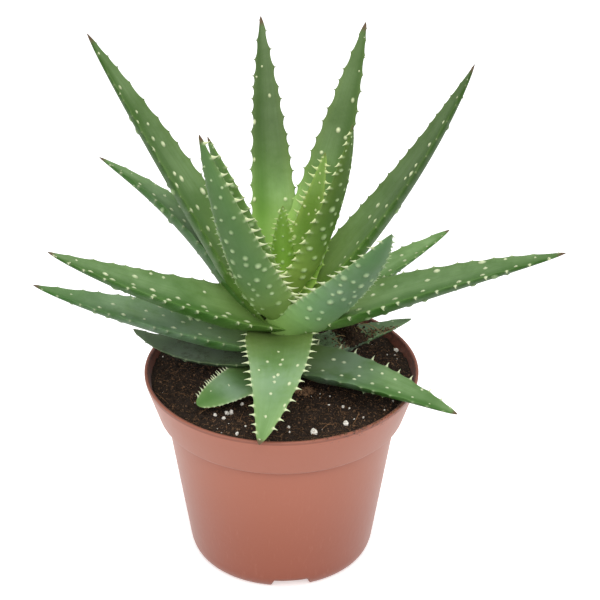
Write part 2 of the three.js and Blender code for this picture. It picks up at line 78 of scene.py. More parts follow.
def lerp(a, b, share):
    """The value that lies at that share of the way from a to b."""
    return a + (b - a) * share


def turn(count, whole=2 * np.pi):
    """Angles evenly round a whole turn."""
    return np.linspace(0, whole, count, endpoint=False)


def openings(kind):
    """Where the openings of one kind stand, in degrees."""
    return kind["first"] + np.arange(kind["count"]) * 360 / kind["count"]


def rounded(corners, steps):
    """A line through (radius, height, fillet) corners. A corner with a fillet becomes a curve
    (1-s)^2 A + 2s(1-s) C + s^2 B from A to B, which lie one fillet away from it on its sides."""
    line = []
    share = np.linspace(0, 1, steps)[:, None]
    for i, (radius, height, fillet) in enumerate(corners):
        corner = np.array([radius, height], float)
        if not fillet:
            line.append(corner[None])
            continue
        after = (i + 1) % len(corners)
        before, after = (np.array(corners[k][:2]) - corner for k in (i - 1, after))
        start = corner + before * min(0.5, fillet / np.linalg.norm(before))
        end = corner + after * min(0.5, fillet / np.linalg.norm(after))
        line.append((1 - share) ** 2 * start + 2 * share * (1 - share) * corner + share**2 * end)
    return np.concatenate(line)


def lathe(line, degrees):
    """A [radius, height] line turned about the axis: the grid (r cos a, r sin a, z)."""
    angle = np.radians(degrees)[None, :]
    radius, height = line[:, :1], line[:, 1:]
    return np.stack([radius * np.cos(angle), radius * np.sin(angle), height + 0 * angle], -1)


def grid_faces(rows, columns, copies):
    """The quads of a grid that closes round its columns, repeated for stacked copies of it."""
    row = np.arange(rows - 1)[:, None]
    column = np.arange(columns)[None, :]
    beside = (column + 1) % columns
    corners = [row * columns + column, row * columns + beside]
    corners += [(row + 1) * columns + beside, (row + 1) * columns + column]
    quads = np.stack(corners, axis=-1).reshape(-1, 4)
    start = np.arange(copies)[:, None, None] * rows * columns
    return (quads[None] + start).reshape(-1, 4)


def put(name, data):
    """An object with that data, linked into the scene."""
    thing = bpy.data.objects.new(name, data)
    bpy.context.scene.collection.objects.link(thing)
    return thing


def build(name, grids, marks=()):
    """One object from grids of points, (copies, rows, columns, 3), each closed round its columns.
    A row that has shrunk to a point or a line is welded there. marks are (name, values per grid)
    for the attributes that the finish reads."""
    points, faces, start = [], [], 0
    for grid in grids:
        copies, rows, columns = grid.shape[:3]
        points.append(grid.reshape(-1, 3))
        faces.append(grid_faces(rows, columns, copies) + start)
        start += copies * rows * columns
    mesh = bpy.data.meshes.new(name)
    faces = np.concatenate(faces)
    mesh.from_pydata(in_frame(np.concatenate(points)), [], faces.tolist())
    for mark, values in marks:
        flat = [np.broadcast_to(v, g.shape[:3]).ravel() for v, g in zip(values, grids)]
        layer = mesh.attributes.new(mark, "FLOAT", "POINT")
        layer.data.foreach_set("value", np.concatenate(flat).astype(np.float32))
    shape = bmesh.new()
    shape.from_mesh(mesh)
    bmesh.ops.remove_doubles(shape, verts=shape.verts, dist=2e-6)
    bmesh.ops.recalc_face_normals(shape, faces=shape.faces)
    shape.to_mesh(mesh)
    shape.free()
    mesh.shade_smooth()
    return put(name, mesh)


def belong(piece, slot, finish, *nodes):
    """The piece's finish, and the nodes that it stands for. slot, its slot in the record, is not
    used.
    """
    piece.data.materials.append(finish)
    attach(piece, "root")
    if nodes:
        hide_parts(*nodes)


class Signal:
    """A value in a finish's nodes. Arithmetic on it adds Math nodes."""

    def __init__(self, finish, socket):
        self.finish = finish
        self.socket = socket

    def math(self, operation, *values):
        return self.finish.node("Math", {"operation": operation}, dict(enumerate(values)))

    def __add__(self, other):
        return self.math("ADD", self, other)

    def __sub__(self, other):
        return self.math("SUBTRACT", self, other)

    def __rsub__(self, other):
        return self.math("SUBTRACT", other, self)

    def __mul__(self, other):
        return self.math("MULTIPLY", self, other)

    def __abs__(self):
        return self.math("ABSOLUTE", self)

    __radd__ = __add__
    __rmul__ = __mul__

    def step(self, low, high):
        """0 below low, 1 above high, and smooth between."""
        ends = {"Value": self, "From Min": low, "From Max": high}
        return self.finish.node("MapRange", {"interpolation_type": "SMOOTHSTEP"}, ends)


class Finish:
    """The nodes of one material, round its Principled shader."""

    def __init__(self, name, constants):
        self.material = bpy.data.materials.new(name)
        self.material.use_nodes = True
        self.nodes = self.material.node_tree.nodes
        self.shader = self.nodes["Principled BSDF"]
        for socket, value in constants.items():
            self.shader.inputs[socket].default_value = value

    def connect(self, node, sockets):
        """A link for each socket that has a signal, and a value for the others."""
        for key, value in sockets.items():
            if isinstance(value, Signal):
                self.material.node_tree.links.new(value.socket, node.inputs[key])
            else:
                node.inputs[key].default_value = value

    def node(self, kind, settings, sockets, output=0):
        """One node: its settings first, then a value or a link for each socket."""
        node = self.nodes.new("ShaderNode" + kind)
        for name, value in settings.items():
            setattr(node, name, value)
        self.connect(node, sockets)
        return Signal(self, node.outputs[output])

    def mark(self, name):
        """An attribute of the mesh."""
        return self.node("Attribute", {"attribute_name": name}, {}, "Fac")

    def place(self):
        """The point on the piece, in metres."""
        return self.node("TexCoord", {}, {}, "Object")

    def coordinate(self, axis):
        """One coordinate of the point, in millimetres."""
        return self.node("SeparateXYZ", {}, {0: self.place()}, axis) * 1000

    def stretched(self, scale):
        """The point on the piece, scaled along each axis."""
        return self.node("Mapping", {}, {"Vector": self.place(), "Scale": scale})

    def noise(self, scale, detail=3.0, rough=0.5, vector=None):
        """Cloudy noise, with about that many lumps to the metre."""
        sockets = {"Vector": vector or self.place(), "Scale": scale}
        sockets |= {"Detail": detail, "Roughness": rough}
        return self.node("TexNoise", {}, sockets, "Fac")

    def mix(self, share, first, second):
        """The first colour, with that share of the second."""
        settings = {"data_type": "RGBA", "clamp_factor": True}
        return self.node("Mix", settings, {0: share, 6: first, 7: second}, 2)

    def coats(self, colour, *layers):
        """A colour with each (share, colour) laid over the ones before it."""
        for share, layer in layers:
            colour = self.mix(share, colour, layer)
        return colour

    def vector(self, *parts):
        """A vector from its parts, as many as are given."""
        return self.node("CombineXYZ", {}, dict(enumerate(parts)))

    def bump(self, height, depth, before=None):
        """Relief of that depth in metres, on top of the relief before it."""
        sockets = {"Height": height, "Distance": depth, "Strength": 1.0}
        if before:
            sockets["Normal"] = before
        return self.node("Bump", {}, sockets, "Normal")

    def done(self, **sockets):
        """The material, once what varies is led to the shader's sockets."""
        named = {name.replace("_", " "): value for name, value in sockets.items()}
        self.connect(self.shader, named)
        return self.material


def rgb(red, green, blue):
    """A colour as it shows on the screen, from 0 to 255, as the shader's linear colour."""
    screen = np.array([red, green, blue]) / 255
    linear = np.where(screen < 0.04045, screen / 12.92, ((screen + 0.055) / 1.055) ** 2.4)
    return (*linear, 1.0)


def make_pot():
    """The wall's section turned round the axis. Inside a notch every point below its top is
    lifted to it: fully between its upper corners, and in step with the angle on its slanted
    ends."""
    taper = (BODY_TOP_RADIUS - BODY_FOOT_RADIUS) / (COLLAR_FOOT - FOOT_FILLET)
    foot_corner = BODY_FOOT_RADIUS - taper * FOOT_FILLET
    floor_corner = BODY_FOOT_RADIUS + taper * (POT_FLOOR - FOOT_FILLET) - WALL
    line = rounded([
        (DRAIN["radius"], FLOOR_UNDERSIDE, 0.4),
        (FOOT_RING_INSIDE, FLOOR_UNDERSIDE, 0.3),
        (FOOT_RING_INSIDE, 0, 0.3),
        (foot_corner, 0, FOOT_FILLET),
        (BODY_TOP_RADIUS, COLLAR_FOOT, 1.3),
        (COLLAR_FOOT_RADIUS, COLLAR_FOOT + COLLAR_LEDGE, 1.3),
        (RIM_RADIUS - 0.1, POT_HEIGHT - 1.6, 0.3),
        (RIM_RADIUS, POT_HEIGHT, 0.45),
        (RIM_RADIUS - RIM_WALL, POT_HEIGHT, 0.45),
        (COLLAR_FOOT_RADIUS - WALL, INSIDE_COLLAR_FOOT, 1),
        (BODY_TOP_RADIUS - WALL, COLLAR_FOOT, 1),
        (floor_corner, POT_FLOOR, 3),
        (DRAIN["radius"], POT_FLOOR, 0.4),
    ], steps=9)
    notches = openings(NOTCH)
    corners = np.array([-NOTCH["half_foot"], -NOTCH["half_top"]])
    corners = np.concatenate([corners, -corners])
    ends = np.add.outer(notches, corners).ravel() % 360
    degrees = np.unique(np.concatenate([turn(POT_COLUMNS, 360), ends]))
    off = np.abs((degrees[:, None] - notches + 180) % 360 - 180).min(axis=1)
    opened = np.interp(off, [NOTCH["half_top"], NOTCH["half_foot"]], [1, 0])
    grid = lathe(line, degrees)
    grid[:, :, 2] = np.maximum(grid[:, :, 2], NOTCH["height"] * opened[None])
    closed = np.concatenate([grid, grid[:1]])
    return build("pot_shell", [closed[None]])


def drill(pot):
    """The drain holes round the middle one, cut through the floor by round plugs."""
    low, high = DRAIN["plug"]
    side = [(0, low), (DRAIN["radius"], low), (DRAIN["radius"], high), (0, high)]
    plug = lathe(np.array(side, float), turn(40, 360))
    spots = lathe(np.array([[DRAIN["ring"], 0.0]]), openings(DRAIN))[0]
    cutter = build("drain_cutter", [plug[None] + spots[:, None, None]])
    cut = pot.modifiers.new("drain", "BOOLEAN")
    cut.object = cutter
    cut.operation = "DIFFERENCE"
    bpy.context.view_layer.update()
    evaluated = pot.evaluated_get(bpy.context.evaluated_depsgraph_get())
    pot.data = bpy.data.meshes.new_from_object(evaluated)
    pot.modifiers.clear()
    bpy.data.objects.remove(cutter)


def pot_finish():
    """Smooth moulded plastic: terracotta with painted shade that darkens it towards the foot,
    clouded a little, with a darker lip, painted shade on the wall inside, faint upright scuffs,
    and peat dust on the wall inside and along the front of the rim. A point is inside where it
    doesn't lie beyond the collar's inner wall."""
    plastic = Finish("terracotta_plastic", {
        "IOR": 1.46, "Sheen Weight": 0.12, "Sheen Roughness": 0.4,
    })
    cloud = plastic.noise(26, 3).step(0.3, 0.7)
    scuff = plastic.noise(7, 5, 0.65, plastic.stretched((90, 90, 14)))
    dust = plastic.noise(520, 5, 0.7)
    x, y, height = (plastic.coordinate(axis) for axis in "XYZ")
    from_axis = plastic.vector(x - pot_axis[0], y - pot_axis[1])
    radius = plastic.node("VectorMath", {"operation": "LENGTH"}, {0: from_axis}, "Value")
    wall_foot, wall_slope = 71.7, 0.31
    beyond = radius - (COLLAR_FOOT_RADIUS - WALL) - (height - wall_foot) * wall_slope
    inside = (1 - beyond.step(0.2, 0.8)) * height.step(COLLAR_FOOT - 0.5, COLLAR_FOOT + 1.5)
    lip = height.step(POT_HEIGHT - 1.5, POT_HEIGHT - 1.1)
    near_rim = height.step(POT_HEIGHT - 4.5, POT_HEIGHT - 0.5)
    front = x.step(4, 22) * (1 - y.step(-50, -30))
    soiled = near_rim * front * dust.step(0.54, 0.62)
    colour = plastic.coats(
        plastic.mix(cloud * 0.5, rgb(199, 121, 95), rgb(203, 125, 102)),
        # painted shade: the colour darkens towards the bottom, and more at the foot
        ((1 - height.step(0, 75)) * 0.85, rgb(164, 84, 58)),
        ((1 - height.step(0, 14)) * 0.3, rgb(146, 66, 42)),
        (scuff.step(0.55, 0.8) * 0.25, rgb(208, 140, 118)),
        (lip * 0.75, rgb(142, 88, 72)),
        # painted shade: the wall inside the pot is darkened as if in the rim's shade
        (inside * 0.8, rgb(100, 50, 37)),
        (inside * dust.step(0.46, 0.6) * 0.6, rgb(48, 34, 25)),
        (soiled * 0.85, rgb(78, 48, 34)),
    )
    rough = 0.34 + 0.12 * scuff + 0.3 * soiled
    skin = plastic.bump(plastic.noise(420, 2), 0.00005)
    relief = plastic.bump(dust * soiled, 0.0003, skin)
    return plastic.done(Base_Color=colour, Roughness=rough, Normal=relief)


pot = make_pot()
drill(pot)
pot.data.set_sharp_from_angle(angle=np.radians(SHARP_EDGE))
belong(pot, "pot_plastic", pot_finish(), "pot")


# ---- Compost ------------------------------------------------------------------------------
# Moist dark peat that fills the pot to a few millimetres below the rim. Its surface is loose
# crumbs and brown fibres, with white grains of perlite that lie half sunk in it.
SOIL_EDGE = 86
SOIL_MOUND = 1.5
SOIL_SPREAD = 56.2
STEM_RADIUS = 8
STEM_FOOT = 52
GAP = 0.3
CRUMB = {"count": 9500, "smallest": 0.25, "largest": 1.5}
FIBRE = {"count": 1700, "length": (0.8, 4.0), "radius": 0.06, "bend": 0.6, "lift": 0.3}
ROOT = {"count": 18, "length": (7.0, 17.0), "radius": 0.13, "bend": 1.6, "lift": 1.2}
# Perlite grains in front of the plant: [to the right, away from the viewer, radius].
PERLITE = [
    (13.6, -46.3, 1.5), (27.2, -39.7, 1.6), (-21.5, -30.3, 1.3), (-23.3, -32.0, 1.0),
    (-28.2, -34.2, 0.7), (-24.5, -35.6, 1.1), (-16.9, -26.3, 0.7), (-15.2, -41.0, 0.5),
    (-18.6, -47.4, 1.0), (26.3, -27.1, 1.0), (29.0, -28.0, 0.6), (20.3, -26.3, 0.5),
    (51.3, 22.1, 1.0), (47.9, -21.5, 0.6), (34.6, -35.0, 0.7), (44.0, -29.0, 0.5),
]
LOOSE_GRAINS = 44


def lattice(x, y, cell, seed):
    """Smooth value noise from -1 to 1: random heights on a square lattice, blended with
    3s^2 - 2s^3 between its points."""
    heights = np.random.default_rng(seed).uniform(-1, 1, (256, 256))
    u, v = x / cell + 100, y / cell + 100
    i, j = np.floor(u).astype(int), np.floor(v).astype(int)
    s, t = u - i, v - j
    s, t = s * s * (3 - 2 * s), t * t * (3 - 2 * t)
    near = lerp(heights[i % 256, j % 256], heights[(i + 1) % 256, j % 256], s)
    far = lerp(heights[i % 256, (j + 1) % 256], heights[(i + 1) % 256, (j + 1) % 256], s)
    return lerp(near, far, t)


def soil_height(x, y):
    """A low mound, crossed waves for its lumps, and ridged noise for the crumbs on them."""
    share = np.clip(np.hypot(x, y) / COLLAR_FOOT_RADIUS, 0, 1)
    mound = SOIL_EDGE + SOIL_MOUND * (0.5 + 0.5 * np.cos(np.pi * share))
    coarse = np.sin(x * 0.31 + 1.3) * np.cos(y * 0.27 - 0.4)
    fine = np.sin(x * 0.9 + y * 0.55) * np.cos(y * 1.05 - x * 0.4 + 2)
    crumbs = 0.8 * np.abs(lattice(x, y, 3.1, 11)) + 0.5 * np.abs(lattice(x, y, 1.3, 12))
    return mound + 0.9 * (0.6 * coarse + 0.7 * fine) + crumbs - 0.4


def make_soil():
    """Rings from the stem's hole over the top, down the wall and in under the bottom, a gap away
    from the pot and the stem."""
    degrees = turn(400, 360)
    share = (SOIL_EDGE - INSIDE_COLLAR_FOOT) / (POT_HEIGHT - INSIDE_COLLAR_FOOT)
    edge = lerp(COLLAR_FOOT_RADIUS - WALL, RIM_RADIUS - RIM_WALL, share) - 0.2
    hole = STEM_RADIUS + GAP
    top = lathe(np.stack([np.linspace(hole, edge, 110), np.zeros(110)], 1), degrees)
    top[:, :, 2] = soil_height(top[:, :, 0], top[:, :, 1])
    in_wall = WALL + GAP
    side = [
        (COLLAR_FOOT_RADIUS - in_wall, COLLAR_FOOT + 2.3),
        (BODY_TOP_RADIUS - in_wall, COLLAR_FOOT + 0.2), (BODY_FOOT_RADIUS - in_wall, 10),
        (BODY_FOOT_RADIUS - 5, POT_FLOOR + GAP), (0, POT_FLOOR + GAP),
    ]
    socket = lathe(np.array([(0, STEM_FOOT), (hole, STEM_FOOT)], float), degrees)
    body = np.concatenate([socket, top, lathe(np.array(side, float), degrees)])
    return build("peat_surface", [body[None]], [("shade", [0.15])])


def ball(rings, sides):
    """Unit sphere points by rows from pole to pole."""
    down = np.linspace(0, np.pi, rings)[:, None]
    around = turn(sides)[None]
    wide = np.sin(down)
    return np.stack([wide * np.cos(around), wide * np.sin(around), np.cos(down) + 0 * around], -1)


def lumps(random, spots, radii, rings, sides, rough=0.35):
    """Squashed, dented balls: each point of a unit ball is moved in or out at random, then the
    ball is stretched, turned by the orthogonal part of a random matrix, and carried to its
    spot."""
    count = len(spots)
    dent = 1 + rough * random.uniform(-1, 1, (count, rings, sides, 1))
    dent[:, 0] = dent[:, 0, :1]
    dent[:, -1] = dent[:, -1, :1]
    squash = random.uniform(0.6, 1.2, (count, 1, 1, 3))
    turned, _ = np.linalg.qr(random.normal(size=(count, 3, 3)))
    shape = np.einsum("nij,nrsj->nrsi", turned, ball(rings, sides)[None] * dent * squash)
    return shape * radii[:, None, None, None] + spots[:, None, None]


def scattered(random, count, nearest, farthest):
    """Spots spread evenly over a ring of the compost, on its surface."""
    radius = np.sqrt(random.uniform(nearest**2, farthest**2, count))
    angle = random.uniform(0, 2 * np.pi, count)
    x, y = radius * np.cos(angle), radius * np.sin(angle)
    return np.stack([x, y, soil_height(x, y)], axis=-1)


def fibres(random, spots, lengths, radius, bend, lift):
    """Thin threads of a four-sided section: each is an arc that turns by up to bend from end to
    end, lies along the compost, and rises to a low hump in its middle."""
    count, steps = len(spots), 6
    share = np.linspace(-0.5, 0.5, steps + 1)
    heading = random.uniform(0, 2 * np.pi, count)[:, None]
    angle = heading + random.uniform(-bend, bend, count)[:, None] * share[None]
    step = lengths[:, None] / steps
    x = np.cumsum(np.cos(angle) * step, axis=1) - steps / 2 * np.cos(heading) * step
    y = np.cumsum(np.sin(angle) * step, axis=1) - steps / 2 * np.sin(heading) * step
    hump = lift * (1 - 4 * share[None] ** 2) * random.uniform(0.2, 1.6, count)[:, None]
    centre = np.stack([x, y, hump], axis=-1) + spots[:, None]
    around = turn(4)[None, None, :, None]
    out = np.stack([-np.sin(angle), np.cos(angle), 0 * angle], axis=-1)[:, :, None]
    thin = radius * np.sqrt(np.clip(1.02 - 4 * share**2, 0, 1))[None, :, None, None]
    threads = centre[:, :, None] + (out * np.cos(around) + [0, 0, 1.0] * np.sin(around)) * thin
    threads[:, 0] = centre[:, :1]
    threads[:, -1] = centre[:, -1:]
    return threads


def peat_finish(name, dark, brown, tan):
    """Damp, rough and dark, brown where it is drier, with small tan flecks of wood."""
    peat = Finish(name, {"Specular IOR Level": 0.25})
    grain = peat.noise(1100, 5, 0.75)
    colour = peat.mix((peat.mark("shade") + grain * 0.9).step(0.35, 1.25), dark, brown)
    fleck = peat.noise(1700, 2, 0.5).step(0.63, 0.7)
    colour = peat.mix(fleck * 0.5, colour, tan)
    relief = peat.bump(grain, 0.0005)
    return peat.done(Base_Color=colour, Roughness=0.7 + 0.3 * grain, Normal=relief)


def perlite_finish():
    """Chalky white expanded grains, a little dirty in their pores."""
    perlite = Finish("perlite_grain", {"Roughness": 0.85})
    pore = perlite.noise(1400, 4, 0.6)
    colour = perlite.mix(pore.step(0.48, 0.7), rgb(255, 250, 240), rgb(196, 184, 164))
    return perlite.done(Base_Color=colour, Normal=perlite.bump(pore, 0.0004))


random = np.random.default_rng(21)
peat = peat_finish("peat", rgb(25, 20, 16), rgb(84, 62, 46), rgb(126, 98, 72))
belong(make_soil(), "compost", peat, "soil")

spots = scattered(random, CRUMB["count"], STEM_RADIUS, SOIL_SPREAD)
span = CRUMB["largest"] / CRUMB["smallest"]
radii = 0.5 * CRUMB["smallest"] * span ** (random.uniform(0, 1, CRUMB["count"]) ** 3)
crumbs = lumps(random, spots, radii, 4, 5)
shades = random.uniform(0, 1, (CRUMB["count"], 1, 1)) ** 1.7
shades *= 1 - 0.6 * (radii[:, None, None] * 2 / CRUMB["largest"])
crumb_piece = build("peat_crumbs", [crumbs], [("shade", [shades])])
crumb_finish = peat_finish("peat_crumb", rgb(28, 22, 17), rgb(142, 108, 80), rgb(190, 150, 110))
belong(crumb_piece, "compost", crumb_finish)

threads, thread_shades = [], []
for kind in (FIBRE, ROOT):
    spots = scattered(random, kind["count"], STEM_RADIUS + 4, SOIL_SPREAD - 2)
    spots[:, 2] += 0.3
    lengths = random.uniform(*kind["length"], kind["count"])
    threads.append(fibres(random, spots, lengths, kind["radius"], kind["bend"], kind["lift"]))
    thread_shades.append(random.uniform(0, 1, (kind["count"], 1, 1)))
fibre_piece = build("peat_fibres", threads, [("shade", thread_shades)])
fibre_finish = peat_finish("peat_fibre", rgb(60, 42, 30), rgb(152, 112, 78), rgb(200, 160, 118))
belong(fibre_piece, "compost", fibre_finish)

seen = np.array(PERLITE)
loose = scattered(random, LOOSE_GRAINS, 16, SOIL_SPREAD - 1)
spots = np.concatenate([np.stack([seen[:, 0], seen[:, 1], 0 * seen[:, 0]], -1), loose])
spots[:, 2] = soil_height(spots[:, 0], spots[:, 1])
radii = np.concatenate([seen[:, 2], 0.2 + 0.5 * random.uniform(0, 1, LOOSE_GRAINS) ** 2])
spots[:, 2] += 0.35 * radii
grains = lumps(random, spots, radii, 7, 9, 0.2)
perlite_piece = build("perlite_grains", [grains])
perlite_piece.data.shade_flat()
belong(perlite_piece, "compost", perlite_finish())


# ---- Stem ---------------------------------------------------------------------------------
# The short stalk of the plant, ringed with the scars of leaves that it has shed. It stands in
# the compost, and the leaves clasp it from there up.
STEM_OUTLINE = [(0.7, STEM_FOOT), (1, 60), (1, 96), (0.8, 104), (0.62, 114), (0.3, 118)]


def make_stem():
    """The outline's (share of the radius, height) points, with the radius drawn in by up to a
    twentieth, as the cube of a sine of the height, for the ringed scars."""
    height = np.linspace(STEM_OUTLINE[0][1], STEM_OUTLINE[-1][1], 90)
    shares, heights = zip(*STEM_OUTLINE)
    radius = STEM_RADIUS * np.interp(height, heights, shares)
    radius *= 1 - 0.05 * (0.5 + 0.5 * np.sin(height * 2.1)) ** 3
    side = np.stack([radius, height], axis=-1)
    ends = [[[0, height[0]]], side, [[0, height[-1]]]]
    return build("stem_stalk", [lathe(np.concatenate(ends), turn(48, 360))[None]])


def stem_finish():
    """Dull green, going to papery brown in the scars."""
    bark = Finish("stalk_skin", {"Roughness": 0.7})
    band = bark.noise(120, 5, 0.7, bark.stretched((1, 1, 6)))
    colour = bark.mix(band.step(0.35, 0.65), rgb(96, 100, 58), rgb(104, 78, 48))
    return bark.done(Base_Color=colour, Normal=bark.bump(band, 0.0006))


belong(make_stem(), "stalk", stem_finish(), "stem")


# ---- Leaves -------------------------------------------------------------------------------
# Thick, pointed, succulent blades with a shallow channel on the upper face and a rounded keel
# below. Each clasps the stem at its root. Both margins are scalloped between hooked teeth, and
# pale spots stand up from the skin, some with a prickle.
ROOT_OFFSET = (8, 2)  # from the stem's axis to the base of the oldest and the youngest leaf
SCALLOP = 0.13  # how deep the margin is drawn between teeth, as a share of the gap between them
ROLL = 0.06  # how far the margin rolls down, as a share of half the width
FROM_ROOT, FROM_TIP = 5, 1.6  # the ends of the margin that have no teeth
SPOT_ROOM, MOST_TRIES = 3.6, 4000  # room between spots, and how long a place for one is sought
UPPER, UNDER = 1, -1
